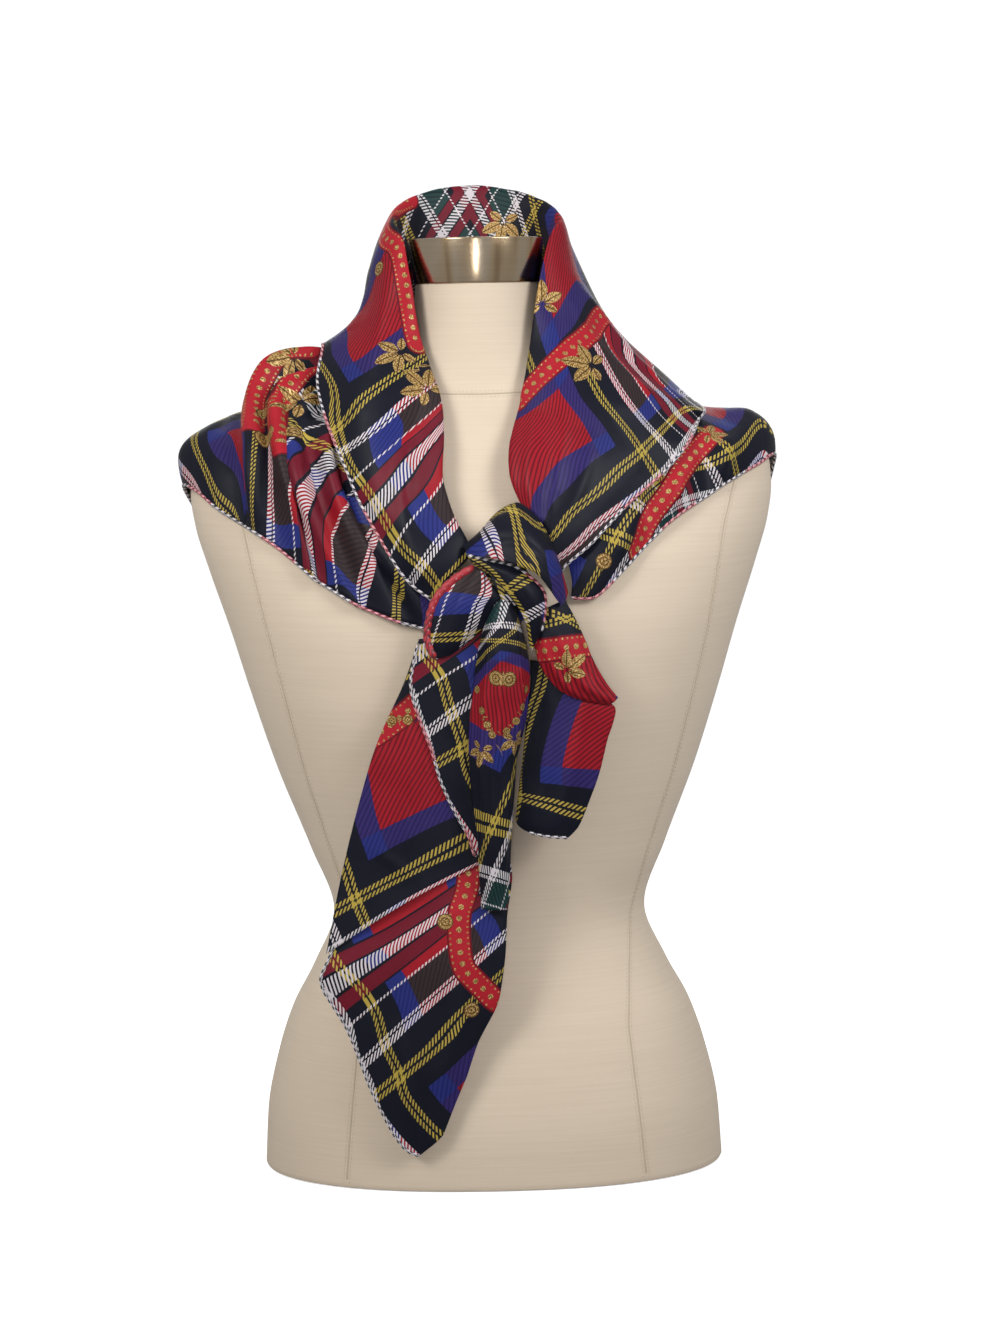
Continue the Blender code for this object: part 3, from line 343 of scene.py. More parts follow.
TAIL_LEFT_UPPER = (
    ((-47, -137, 422), (-24, -142, 424), (-2, -143, 424)),
    ((-59, -138, 389), (-28, -143, 391), (1, -142, 392)),
    ((-75, -137, 356), (-36, -143, 359), (2, -141, 361)),
    ((-85, -136, 330), (-40, -142, 336), (4, -140, 340)),
    ((-97, -134, 290), (-45, -141, 303), (4, -139, 314)),
    ((-107, -132, 252), (-50, -139, 272), (3, -138, 286)),
    ((-113, -131, 226), (-54, -138, 250), (1, -137, 269)),
    ((-121, -131, 188), (-62, -138, 226), (-7, -137, 254)),
)
TAIL_LEFT_PLAID = (
    ((-47, -146, 419), (-22, -150, 424), (2, -150, 430)),
    ((-53, -146, 390), (-25, -150, 398), (5, -149, 404)),
    ((-47, -146, 364), (-20, -149, 376), (6, -148, 385)),
    ((-39, -146, 342), (-16, -148, 348), (5, -147, 352)),
    ((-33, -145, 319), (-14, -147, 323), (3, -146, 326)),
    ((-23, -144, 295), (-10, -146, 298), (1, -145, 300)),
    ((-13, -143, 276), (-6, -144, 277), (-1, -144, 278)),
    ((-9, -142, 261), (-5, -142, 261), (-2, -142, 261)),
)
WIDE_TAIL_COLUMNS = ("left", "middle_left", "middle_right", "right")
TAIL_LEFT_LOWER = (
    ((-96, -123, 246), (-62, -127, 262), (-26, -129, 282), (10, -130, 304)),
    ((-116, -125, 190), (-74, -129, 208), (-28, -131, 234), (16, -131, 262)),
    ((-125, -127, 169), (-80, -131, 188), (-32, -134, 214), (18, -133, 243)),
    ((-119, -126, 153), (-76, -131, 170), (-30, -135, 192), (14, -134, 217)),
    ((-108, -125, 134), (-70, -130, 148), (-28, -135, 167), (12, -133, 187)),
    ((-99, -124, 111), (-64, -129, 124), (-28, -132, 139), (7, -131, 154)),
    ((-91, -123, 87), (-62, -128, 103), (-30, -130, 120), (0, -128, 137)),
    ((-83, -122, 68), (-59, -127, 84), (-34, -129, 101), (-10, -126, 118)),
    ((-73, -121, 48), (-55, -124, 63), (-36, -126, 79), (-18, -124, 94)),
    ((-64, -120, 36), (-52, -122, 47), (-40, -124, 59), (-28, -123, 71)),
    ((-55, -120, 32), (-49, -121, 37), (-43, -122, 42), (-37, -122, 48)),
)
GATHER_COLUMNS = ("left", "left_pleat", "crown", "right_pleat", "right")
TAIL_GATHER = (
    ((9, -157, 448), (12, -160, 451), (15, -161, 452), (19, -160, 450), (23, -157, 447)),
    ((0, -153, 428), (6, -163, 431), (15, -166, 432), (23, -163, 431), (29, -153, 428)),
    ((-5, -152, 408), (4, -163, 409), (14, -168, 410), (25, -163, 409), (33, -152, 407)),
    ((-8, -152, 386), (2, -162, 387), (13, -167, 388), (25, -162, 387), (33, -152, 385)),
    ((-11, -152, 360), (0, -161, 361), (11, -165, 362), (22, -161, 361), (29, -152, 359)),
    ((-12, -151, 334), (-3, -159, 335), (7, -162, 336), (17, -159, 335), (23, -151, 334)),
    ((-10, -149, 305), (-2, -156, 306), (6, -159, 306), (15, -156, 305), (20, -149, 304)),
    ((-7, -147, 275), (0, -153, 276), (6, -156, 276), (13, -153, 275), (18, -147, 274)),
    ((-6, -144, 245), (-1, -149, 246), (5, -152, 246), (11, -149, 245), (16, -144, 244)),
    ((-5, -142, 222), (0, -145, 222), (5, -147, 222), (10, -145, 221), (14, -142, 221)),
)
TAIL_RIGHT_UPPER = (
    ((38, -147, 440), (50, -151, 446), (60, -146, 450)),
    ((37, -149, 422), (54, -155, 425), (71, -146, 428)),
    ((41, -149, 403), (61, -155, 406), (79, -146, 408)),
    ((55, -148, 384), (72, -153, 388), (87, -145, 392)),
    ((73, -147, 376), (83, -149, 380), (93, -144, 383)),
    ((91, -144, 372), (95, -145, 374), (98, -143, 377)),
)
TAIL_RIGHT_LOWER = (
    ((34, -139, 406), (52, -142, 403), (67, -138, 399)),
    ((34, -139, 387), (60, -142, 384), (85, -138, 379)),
    ((31, -138, 369), (64, -142, 370), (96, -137, 368)),
    ((29, -137, 347), (60, -142, 347), (90, -136, 347)),
    ((26, -136, 324), (56, -141, 324), (84, -135, 323)),
    ((23, -135, 302), (50, -139, 302), (76, -134, 301)),
    ((22, -134, 285), (46, -137, 283), (68, -133, 282)),
    ((30, -133, 278), (45, -134, 275), (60, -132, 273)),
)

# The solid that stands for the layers hidden inside the knot
KNOT_CORE_CENTRE = (18, -135.6, 455)
KNOT_CORE_HALF = (19.0, 14.5, 26.0)     # half sizes

BACKWARDS = np.array((0.0, 1.0, 0.0))
FORWARDS = -BACKWARDS

# Stretches from the form outwards: name, table and its columns, samples from row to row and from
# column to column in the solid, the column from which it lies on the stretches below, and those
Stretch = namedtuple("Stretch", "name table columns along across lies_from over")
CAPES = ("cape_left", "cape_back", "cape_right")
TAILS = ("tail_left_lower", "tail_left_upper", "tail_right_lower", "tail_left_plaid",
         "tail_right_upper", "tail_gather")
KNOT = ("knot_loop", "knot_band", "knot_wrap")
STRETCHES = (
    Stretch("cape_back", CAPE_BACK, CAPE_COLUMNS, 2, 2, "inner", ()),
    Stretch("cape_left", CAPE_LEFT, CAPE_COLUMNS, 3, 2, "inner", ()),
    Stretch("cape_right", CAPE_RIGHT, CAPE_COLUMNS, 2, 2, "inner", ()),
    Stretch("collar_roll", COLLAR, COLLAR_COLUMNS, 2, 3, "roll", CAPES),
    Stretch("tail_left_lower", TAIL_LEFT_LOWER, WIDE_TAIL_COLUMNS, 2, 2, "left", ()),
    Stretch("tail_left_upper", TAIL_LEFT_UPPER, TAIL_COLUMNS, 2, 3, "left",
            ("tail_left_lower", "cape_left")),
    Stretch("tail_right_lower", TAIL_RIGHT_LOWER, TAIL_COLUMNS, 2, 3, "left", ("cape_right",)),
    Stretch("tail_left_plaid", TAIL_LEFT_PLAID, TAIL_COLUMNS, 2, 3, "left",
            ("tail_left_upper", "collar_roll")),
    Stretch("tail_right_upper", TAIL_RIGHT_UPPER, TAIL_COLUMNS, 2, 3, "left",
            ("tail_right_lower", "cape_right", "collar_roll")),
    Stretch("knot_loop", KNOT_LOOP, KNOT_COLUMNS, 2, 3, "upper",
            ("tail_left_plaid", "collar_roll", "cape_left")),
    Stretch("tail_gather", TAIL_GATHER, GATHER_COLUMNS, 2, 2, "left",
            ("knot_loop", "tail_left_plaid", "tail_left_upper", "tail_right_upper",
             "tail_right_lower", "tail_left_lower")),
    Stretch("knot_band", KNOT_BAND, KNOT_COLUMNS, 2, 3, "upper",
            ("knot_loop", "tail_gather", "tail_right_upper", "collar_roll")),
    Stretch("knot_wrap", KNOT_WRAP, WRAP_COLUMNS, 2, 3, "tuck",
            ("knot_band", "knot_loop", "tail_right_upper", "collar_roll")),
)

# Stretches that settle back on what is behind them, and those that come forward to the one they
# hang from
SETTLE_BACK = ("tail_left_upper", "tail_left_plaid", "tail_right_upper", "knot_loop", "tail_gather",
               "knot_band", "knot_wrap")
SETTLE_FORWARD = ("tail_left_lower", "tail_right_lower")

# ---------------------------------------------------------------- the print
# Half of the tartan's sett, from the middle of the red to the middle of the maroon: width and kind.
# "clear" shows the other way's colour, and so does white between its dashes
SETT = ((33.0, "red"), (16.5, "blue"), (14.0, "navy"), (3.2, "yellow"), (2.0, "navy"), (3.2, "yellow"),
        (17.0, "navy"), (5.0, "white"), (1.2, "navy"), (2.4, "white"), (20.0, "green"), (1.8, "white"),
        (6.0, "clear"), (1.2, "navy"), (8.0, "maroon"), (1.8, "navy"), (4.8, "white"))
HALF_SETT = sum(width for width, _ in SETT)
# Where two kinds cross: both, their colour and the colour of its ribs
CROSSINGS = (("red", "red", "red", "red_shade"), ("red", "blue", "purple", "purple_shade"),
             ("blue", "blue", "blue", "blue_shade"), ("green", "blue", "blue", "blue_shade"),
             ("green", "green", "green", "green_shade"), ("green", "red", "brown", "brown_shade"))
TWILL_PITCH = 3.5       # from one dash of a line to the next, along the threads
RIB_PITCH = 5.2         # from one rib of a ground to the next, along the threads
RIB_SHARE = 0.40        # part of that which is the rib
DASH_SHARE = 0.5        # part of the twill's pitch that is a dash
WEAVE_PITCH = 0.7       # fine cross ribs of the silk

# Generic ornament: red ribbons with a row of gold beads, sprigs of five pointed leaves, round discs
RIBBON_WIDTH = 17.0
RIBBON_SAMPLES = 12     # along a ribbon's path, from spot to spot
BEAD_PITCH = 8.5
BEAD_RADIUS = 2.1
SEED_PITCH = 4.25       # small beads along the ribbon's edges
SEED_RADIUS = 0.8
SEED_ASIDE = 6.6
RIM_WIDTH = 0.7         # half of the line along the ribbon's edges
DISC_RADIUS = 6.0
DISC_RINGS = 2.6        # from ring to ring in a disc
DISC_RING_SHARE = 0.3   # part of that which is dark
DISC_REACH = 12.0       # further from its middle a disc has nothing
SPRIG_REACH = 26.0      # the same for a sprig
REACH_SPARE = 1.6       # the measure is kept so many times further, or its last quads would show lines
FAR = 60.0              # as good as no ornament
LAYERS_APART = 8.0      # what a column counts, so that an ornament stays on its own layer
Leaf = namedtuple("Leaf", "turn length width")
SPRIG = (Leaf(0.0, 22.0, 10.0), Leaf(55.0, 19.0, 9.5), Leaf(-55.0, 19.0, 9.5), Leaf(118.0, 13.0, 7.0),
         Leaf(-118.0, 13.0, 7.0))
LEAF_FOOT = 2.0         # from the sprig's middle to a leaf
LEAF_VEIN = 0.5         # half its width

# ---------------------------------------------------------------- how each stretch is dressed
# Where the print lies on a stretch: for each row of its table, the place on the square at one
# column, in mm along the print's two ways, the turn of the row there in degrees, and how much of
# the print goes to a length of it, which is more than 1 where small folds take it up
Place = namedtuple("Place", "column rows")

# Ornament on a stretch: ribbons as paths of rows and columns, sprigs as row, column, turn and size,
# discs as row, column and size, and the shift of the print beyond the last ribbon, if there is one
Ornament = namedtuple("Ornament", "ribbons sprigs discs shift", defaults=((), (), (), None))

# A stretch's dress: samples from row to row and from column to column, its cut's width and length,
# how it is held and on what it rests, the print, the ornament and the creases. A crease is its first
# row and column, its last row and column, its bend, height (below zero for a trough) and width
Dress = namedtuple("Dress", "along across cut held rests_on place ornament creases")
CREASE_SAMPLES = 24
CREASE_TAPER = 0.7      # power of the sine that lets its ends run out
CREASE_REACH = 1.6      # columns beyond which it does nothing
DRESS = {
    "cape_back": Dress(
        8, 7, (450, 170), "draped", ("form_torso",),
        Place(3, ((0, 40, 123, 1), (40, 60, 110, 1), (80, 80, 100, 1), (120, 100, 90, 1),
                  (160, 100, 80, 1), (200, 90, 70, 1), (240, 70, 60, 1), (262, 20, 48, 1),
                  (280, -20, 37, 1))),
        Ornament(), (
            (1.6, 2.8, 1.2, 5.2, 0.2, 2.6, 9.0), (3.1, 2.8, 3.3, 5.4, -0.2, 2.4, 8.0),
            (4.8, 2.8, 4.7, 5.4, 0.2, 2.4, 8.0), (6.5, 2.8, 6.9, 5.2, 0.1, 2.6, 9.0))),
    "cape_left": Dress(
        6, 6, (300, 170), "draped", ("form_torso",),
        Place(3, ((216, -39, 41, 1.13), (166, -57, 49, 0.96), (144, -71, 53, 1), (131, -73, 57, 1),
                  (120, -75, 60, 0.97), (109, -75, 64, 0.92), (101, -75, 68, 0.92), (90, -74, 72, 0.92),
                  (74, -71, 77, 0.95), (52, -66, 86, 1.01), (-7, -61, 112, 1.14), (-24, -67, 119, 1.1),
                  (-49, -74, 123, 1.06), (-64, -86, 128, 1), (-79, -111, 137, 1.01))),
        Ornament((((9.2, 1.0), (8.9, 1.6), (8.6, 2.1), (8.5, 2.7), (8.5, 3.3), (8.6, 3.7)),
                  ((8.0, 0.9), (7.4, 1.4), (6.9, 1.8), (6.6, 2.3), (6.4, 2.8), (6.5, 3.4), (6.8, 4.0))),
                 ((9.2, 1.4, 0, 0.9), (5.0, 2.3, 90, 1.0)),
                 ((7.9, 3.3, 1.1), (8.3, 3.9, 1.3), (4.9, 3.35, 1.1))), (
            (8.6, 1.3, 8.7, 5.8, 0.2, 4.0, 9.0), (6.9, 1.9, 6.1, 5.0, -0.2, 4.0, 7.5),
            (5.3, 2.2, 5.1, 5.2, 0.2, 3.6, 6.5), (4.0, 2.5, 4.4, 5.6, -0.2, 3.2, 6.0),
            (2.9, 2.9, 3.4, 5.8, 0.1, 2.6, 6.0), (1.7, 3.6, 2.3, 5.8, -0.1, 2.2, 6.0),
            (10.8, 1.5, 10.0, 4.6, 0.2, 2.4, 8.0), (0.7, 3.8, 1.0, 5.6, 0.1, 1.8, 5.0))),
    "cape_right": Dress(
        8, 6, (225, 150), "draped", ("form_torso",),
        Place(3, ((33, 57, 117, 0.89), (12, 43, 124, 0.85), (-8, 50, 121, 0.98), (-29, 35, 124, 1.04),
                  (-55, 32, 122, 1.16), (-82, 38, 118, 1.21), (-123, 42, 120, 1.28),
                  (-156, 40, 128, 1.3), (-184, 34, 126, 1.2), (-210, 28, 124, 1.1),
                  (-234, 23, 122, 1.05))),
        Ornament((((3.9, 3.4), (5.3, 3.9), (6.2, 4.6), (7.0, 5.1), (7.4, 5.8)),),
                 ((4.2, 3.4, -82, 0.7),), ((8.7, 4.9, 1.0),)), (
            (4.6, 3.2, 7.0, 5.4, 0.2, 2.4, 7.0), (6.2, 3.2, 8.2, 5.2, -0.2, 2.4, 6.0),
            (3.0, 3.4, 4.6, 5.6, 0.2, 1.8, 7.0))),
    "collar_roll": Dress(
        7, 5, (820, 175), "folded", ("form_neck", "cape_left", "cape_right", "cape_back"),
        Place(2, ((-29, 215, 179, 1), (-28, 200, 191, 1), (-21, 181, 196, 1), (-17, 163, 204, 1),
                  (-7, 154, 219, 1), (-13, 131, 232, 1), (3, 99, 218, 1), (20, 52, 206, 1),
                  (32, 7, 189, 1), (48, -24, 185, 1), (60, -48, 189, 1), (80, -76, 200, 1),
                  (103, -103, 212, 1),
                  (138, -148, 225, 1), (184, -198, 236, 1), (226, -240, 240, 1), (268, -262, 238, 1.1),
                  (301, -275, 232, 1.25), (321, -290, 225, 1.42), (341, -307, 225, 1.52),
                  (365, -324, 223, 1.5), (386, -348, 224, 1.42), (392, -382, 224, 1.15),
                  (394, -398, 231, 1.12), (395, -409, 243, 1.55), (396, -426, 248, 1.85),
                  (397, -450, 250, 2))),
        Ornament((((11.4, 2.0), (9.8, 2.5), (8.4, 2.3), (6.9, 2.3)),
                  ((13.0, 5.2), (14.2, 4.6), (15.4, 4.1), (16.6, 3.8), (18.0, 3.5), (19.0, 3.15),
                   (19.8, 2.5), (20.6, 1.7), (21.4, -0.1))),
                 ((6.8, 2.9, -10, 0.9), (5.9, 2.5, 60, 1.0), (19.2, 3.5, 165, 1.0),
                  (18.4, 2.3, -125, 0.85), (13.7, 1.4, 188, 0.9)), ((9.2, 3.1, 1.0),), (-84, 103)), (
            (5.8, 2.5, 2.2, 3.2, 0.3, 2.2, 6.0), (4.6, 3.2, 1.6, 4.0, -0.2, 1.8, 6.0),
            (8.8, 2.7, 6.4, 3.6, 0.2, 1.8, 7.0), (10.4, 3.2, 8.4, 4.4, 0.2, 1.6, 8.0),
            (20.8, 2.5, 24.8, 2.4, 0.1, 2.2, 4.5), (20.6, 3.0, 24.6, 2.9, 0.1, 2.0, 4.5),
            (21.0, 3.5, 24.4, 3.5, 0.1, 1.6, 4.5), (16.6, 3.3, 18.6, 4.8, 0.2, 2.2, 6.0),
            (17.6, 2.9, 19.8, 4.6, 0.2, 2.0, 5.5), (19.4, 3.5, 22.2, 4.6, -0.2, 1.6, 6.0),
            (12.4, 3.0, 11.6, 4.8, 0.2, 1.8, 8.0), (14.2, 3.0, 14.8, 4.8, 0.2, 1.8, 8.0))),
    "tail_left_lower": Dress(
        6, 10, (105, 225), "hung", ("tail_left_upper",),
        Place(1, ((11, 99, 2, 1), (-20, 126, 2, 1.01), (-36, 141, 6, 1.03), (-46, 155, 11, 1.06),
                  (-51, 174, 16, 1.12), (-52, 196, 21, 1.1), (-59, 212, 11, 1.03), (-61, 227, 6, 0.99),
                  (-69, 246, 1, 0.99), (-77, 260, -2, 1), (-82, 270, -4, 1))),
        Ornament((((0.4, 2.3), (1.1, 2.3), (2.4, 2.2), (3.6, 2.2), (4.2, 2.4), (5.2, 3.0)),), (),
                 ((2.1, 2.0, 1.0), (5.0, 2.4, 1.0))), (
            (3.6, 0.7, 9.0, 0.9, 0.1, 1.4, 6.0), (3.2, 2.3, 8.6, 1.7, 0.1, 1.6, 6.0),
            (4.2, 1.5, 7.6, 1.3, -0.1, 1.0, 5.0))),
    "tail_left_upper": Dress(
        8, 10, (85, 200), "hung", ("tail_left_lower", "form_torso"),
        Place(1, ((60, -81, 18, 1), (44, -52, 18, 1), (26, -25, 16, 1.01), (15, -4, 14, 1.02),
                  (5, 27, 11, 1.02), (-9, 56, 10, 1.02), (-20, 70, 6, 0.99), (-35, 93, 0, 1))),
        Ornament((((2.3, -0.2), (1.8, 0.2), (1.4, 0.5), (1.0, 0.8)),), (),
                 ((1.8, 0.1, 0.7), (1.8, 0.42, 0.7))), (
            (0.6, 0.5, 6.4, 0.8, 0.1, 1.6, 6.5), (0.8, 1.2, 6.6, 1.5, 0.1, 1.5, 5.5),
            (4.6, 0.3, 6.7, 1.1, 0.1, 1.0, 4.0))),
    "tail_left_plaid": Dress(
        7, 5, (40, 165), "hung", ("tail_left_upper",),
        Place(1, ((-42, -137, 21, 1.01), (-61, -119, 16, 1.02), (-62, -98, 13, 1.04),
                  (-67, -73, 18, 1.04), (-70, -49, 19, 1.02), (-78, -25, 20, 1.01), (-86, -5, 21, 1),
                  (-93, 10, 22, 1))),
        Ornament(), (
            (0.5, 0.7, 6.4, 0.8, 0.1, 1.2, 4.0), (0.8, 1.5, 6.4, 1.5, 0.1, 1.2, 4.0))),
    "tail_right_lower": Dress(
        7, 8, (53, 130), "hung", ("form_torso",),
        Place(1, ((-61, -43, 1, 1.01), (-49, -26, -3, 1.02), (-38, -12, -7, 1.03), (-34, 11, -6, 1.04),
                  (-33, 36, -5, 1.05), (-40, 65, -14, 1.02), (-40, 80, -11, 1), (-39, 88, -8, 1))),
        Ornament(), (
            (0.8, 0.5, 6.2, 0.5, 0.1, 1.6, 5.5), (1.2, 1.3, 6.2, 1.4, -0.1, 1.4, 5.0))),
    "tail_right_upper": Dress(
        6, 6, (31, 90), "folded", ("tail_right_lower",),
        Place(1, ((87, -76, -69, 1), (53, -46, -101, 1), (18, -19, -126, 1), (-4, -6, -141, 1),
                  (-18, 0, -152, 1), (-31, 4, -161, 1))),
        Ornament((((1.5, -0.2), (1.5, 1.1), (1.6, 2.2)),), ((2.3, 0.8, -25, 0.7),)), (
            (0.2, 0.4, 4.6, 0.3, 0.05, 1.5, 2.8), (0.2, 1.0, 4.8, 1.0, 0.05, 1.7, 3.0),
            (0.2, 1.6, 4.8, 1.7, 0.05, 1.5, 2.8))),
    "tail_gather": Dress(
        8, 5, (39, 232), "gathered", ("tail_left_plaid", "tail_right_lower"),
        Place(2, ((117, -97, 105, 1.28), (90, -84, 87, 1.64), (37, -35, 72, 1.65), (2, -1, 68, 1.36),
                  (-26, 19, 74, 1.3), (-46, 37, 80, 1.45), (-58, 56, 84, 1.6), (-74, 78, 86, 1.6),
                  (-96, 97, 82, 1.6), (-122, 113, 80, 1.6))),
        Ornament((), ((4.7, 1.0, 110, 0.6), (4.4, 3.1, 70, 0.6)),
                 ((2.65, 1.6, 0.95), (2.7, 2.4, 0.95), (3.0, 0.3, 0.5), (3.6, 0.8, 0.5),
                  (4.0, 1.2, 0.5), (4.3, 1.6, 0.5), (3.0, 3.6, 0.5), (3.5, 3.4, 0.5), (3.9, 3.0, 0.5),
                  (4.2, 2.5, 0.5))), (
            (0.4, 0.8, 8.6, 0.9, 0.1, 1.4, 3.2), (0.4, 2.0, 8.6, 2.0, -0.1, 1.6, 3.0),
            (0.4, 3.2, 8.6, 3.1, 0.1, 1.4, 3.2))),
    "knot_loop": Dress(
        6, 5, (32, 72), "folded", ("tail_left_plaid", "knot_core"),
        Place(1, ((-98, 13, 7, 1), (-100, 27, 8, 1), (-102, 41, 9, 1), (-104, 57, 10, 1),
                  (-107, 74, 10, 1), (-109, 85, 10, 1))),
        Ornament(), (
            (0.4, 0.6, 4.6, 0.8, 0.1, 1.2, 3.5), (0.6, 1.4, 4.8, 1.5, 0.1, 1.2, 3.0))),
    "knot_band": Dress(
        6, 4, (17, 90), "folded", ("knot_core",),
        Place(1, ((69, 30, 47, 1), (65, 46, 40, 1), (59, 61, 34, 1), (56, 76, 30, 1), (55, 90, 28, 1),
                  (57, 105, 28, 1), (61, 116, 29, 1))),
        Ornament(), ((0.4, 1.0, 5.6, 1.1, 0.1, 0.9, 3.0),)),
    "knot_wrap": Dress(
        6, 5, (43, 118), "folded", ("knot_core",),
        Place(2, ((-112, 53, -86, 1), (-99, 47, -95, 1), (-89, 43, -105, 1), (-67, 50, -101, 1),
                  (-56, 55, -123, 1), (-43, 44, -133, 1), (-38, 28, -140, 1), (-32, 16, -147, 1))),
        Ornament(), (
            (0.4, 1.0, 6.6, 1.3, 0.1, 1.2, 3.0), (0.4, 2.4, 6.6, 2.6, -0.1, 1.3, 3.2),
            (2.4, 3.3, 6.6, 3.4, 0.1, 1.0, 2.6))),
}

# Slow unevenness of all the cloth: height in mm, waves per mm along the print's two ways, phase
WAVES = ((0.22, 0.011, 0.007, 0.4), (0.16, -0.009, 0.017, 1.9), (0.10, 0.031, -0.022, 3.1))

# ---------------------------------------------------------------- trims
# Rolled hems: the stretch and the border they run along, and their finish
HEMS = (
    ("collar_roll", "right", "hem_pink"), ("cape_left", "right", "hem_pink"),
    ("cape_back", "right", "hem_pink"), ("cape_right", "right", "hem_pink"),
    ("tail_left_plaid", "left", "hem_pink"), ("tail_left_lower", "left", "hem_navy"),
    ("tail_right_lower", "bottom", "hem_pink"), ("knot_loop", "left", "hem_red"),
    ("knot_band", "left", "hem_pink"),
)
THICK_ROLL = "hem_red"  # the finish of the thick roll
HEM_STEP = 1.2          # along a hem from ring to ring
HEM_SIDES = 10
HEM_TWIST = 6.0         # one turn of the cord in a rolled hem
THICK_TWIST = 1.4       # the same in the thick roll, as a share of it
HEM_TWIST_DEPTH = 0.12  # these four are shares of the hem's radius: the twist's ridges,
HEM_BEYOND = 0.4        # the hem's middle beyond the border,
STITCH_INSIDE = 0.7     # and its stitches, back from there
STITCH_ABOVE = 0.75     # and above it
STITCH_LENGTH = 1.6
STITCH_THICKNESS = 0.45
STITCH_SLANT = math.radians(35)
BLUNT_END = 0.02        # least swelling of a tube at its ends, as a share of its radius

# ---------------------------------------------------------------- form
FORM_AROUND = 128       # points in a ring of the form
BASE_EDGE = 2.0         # rounded edge at the underside
BASE_HEIGHTS = (0.0, 0.6, 2.0)  # rings in that edge
TORSO_FOOT = 5.0        # height of the first of the even rings
TORSO_RINGS = 150
NECK_FOOT = 590.0
NECK_RINGS = 44
SHARP = math.radians(40)    # from this angle an edge shows as one
CAP_AROUND = 96
CAP_ROUNDING = 3        # steps in its rounded edges
CAP_RIM = 2.2           # width of the rim round its top
CAP_DISH = 0.4          # depth of the top inside the rim
CORE_RINGS = 18
CORE_AROUND = 42
CORE_FOLDS = 7
CORE_FOLD = 0.02        # depth of a fold, as a share of the radius
CORE_PRINT = (70.0, 20.0)   # where the print lies on the hidden layers

# Seams of the cover: name, front -1 or back 1, and a table of height and place across
TORSO_SEAMS = (
    ("princess_seam_left", -1,
     ((560, -200), (500, -178), (420, -160), (376, -150), (313, -136), (250, -118), (199, -104),
      (120, -100), (45, -108), (2, -112))),
    ("princess_seam_right", -1,
     ((560, 200), (500, 182), (420, 168), (376, 158), (313, 142), (250, 122), (199, 108), (120, 104),
      (45, 112), (2, 116))),
    ("back_seam_left", 1,
     ((560, -190), (500, -160), (420, -130), (313, -110), (199, -80), (120, -90), (2, -105))),
    ("back_seam_right", 1,
     ((560, 190), (500, 160), (420, 130), (313, 110), (199, 80), (120, 90), (2, 105))),
    ("back_seam_middle", 1, ((590, 0), (300, 0), (2, 0))),
)
SEAM_STEP = 3.0         # along a seam, from ring to ring
SEAM_RADIUS = 0.9
SEAM_SINK = 0.55        # how deep the welt's middle lies in the cover
SEAM_SIDES = 8
SEAM_ROW = 2.4          # from the welt to the stitches beside it
SEAM_LIFT = 0.12        # stitches above the cover
NECK_SEAM_POINTS = 121
NECK_SEAM_HALF = (76.0, 60.0)   # half sizes of the oval that it is found from, in so many rounds
NECK_SEAM_ROUNDS = 4
SEAM_STITCH_LENGTH = 1.7
SEAM_STITCH_THICKNESS = 0.4

# ---------------------------------------------------------------- stage
# Its place, what it points at, its sides, watts, spread in degrees and colour
Light = namedtuple("Light", "name at aim size power spread colour", defaults=((1.0, 1.0, 1.0),))
LIGHTS = (
    Light("key_light", (-1.6, -1.8, 1.9), (0.0, 0.0, 0.52), (1.1, 1.1), 4.8, 50.0, (1.0, 0.985, 0.96)),
    Light("fill_light", (1.7, -1.7, 1.8), (0.0, 0.0, 0.50), (1.1, 1.1), 4.5, 50.0, (0.98, 0.985, 1.0)),
    Light("strip_light", (-0.05, -2.9, 0.62), (0.0, 0.0, 0.70), (0.10, 1.2), 0.65, 40.0),
    Light("top_light", (0.0, 0.4, 2.6), (0.0, 0.0, 0.4), (1.6, 1.2), 0.8, 90.0),
    Light("back_light", (0.0, 2.6, 0.9), (0.0, 0.0, 0.45), (2.2, 2.0), 5.0, 70.0),
)
SKY_STRENGTH = 0.36
BACKDROP_STRENGTH = 1.05    # the sky as the camera sees it
FLOOR_GLOW = 0.65
FLOOR_BOUNCE = 0.3      # grey of the floor in the light that it throws back
FLOOR_RADIUS = 1.6
FLOOR_CORNERS = 64
FLOOR_DROP = 0.5        # below the underside, mm
CAMERA_AT = (0.012, -2.423, 0.655)
CAMERA_AIM = (0.012, 0.0, 0.386)
CAMERA_ROLL = -1.1      # degrees
CAMERA_LENS = 85.0      # mm
CAMERA_SENSOR = 36.0    # its height, mm


# ---------------------------------------------------------------- surfaces
def refine(points, samples):
    """Catmull-Rom through points along their first axis, a number of samples between each two."""
    points = np.asarray(points, float)
    run = np.concatenate([2 * points[:1] - points[1:2], points, 2 * points[-1:] - points[-2:-1]])
    before, here, after, beyond = run[:-3], run[1:-2], run[2:-1], run[3:]
    parts = []
    for k in range(samples):
        t = k / samples
        parts.append(0.5 * (2 * here + (after - before) * t
                            + (2 * before - 5 * here + 4 * after - beyond) * t * t
                            + (3 * here - before - 3 * after + beyond) * t ** 3))
    woven = np.stack(parts, axis=1).reshape((-1, *points.shape[1:]))
    return np.concatenate([woven, points[-1:]])


def surface_through(table, along, across):
    """Grid of points, rows by columns, through a table of sections."""
    sections = refine(np.swapaxes(np.asarray(table, float), 0, 1), across)
    return refine(np.swapaxes(sections, 0, 1), along)


def unit(vectors):
    """Vectors brought to length 1."""
    return vectors / np.maximum(np.linalg.norm(vectors, axis=-1, keepdims=True), TINY)


def grid_normals(grid):
    """Unit normals of a grid, on the side of rows x columns."""
    return unit(np.cross(np.gradient(grid, axis=0), np.gradient(grid, axis=1)))


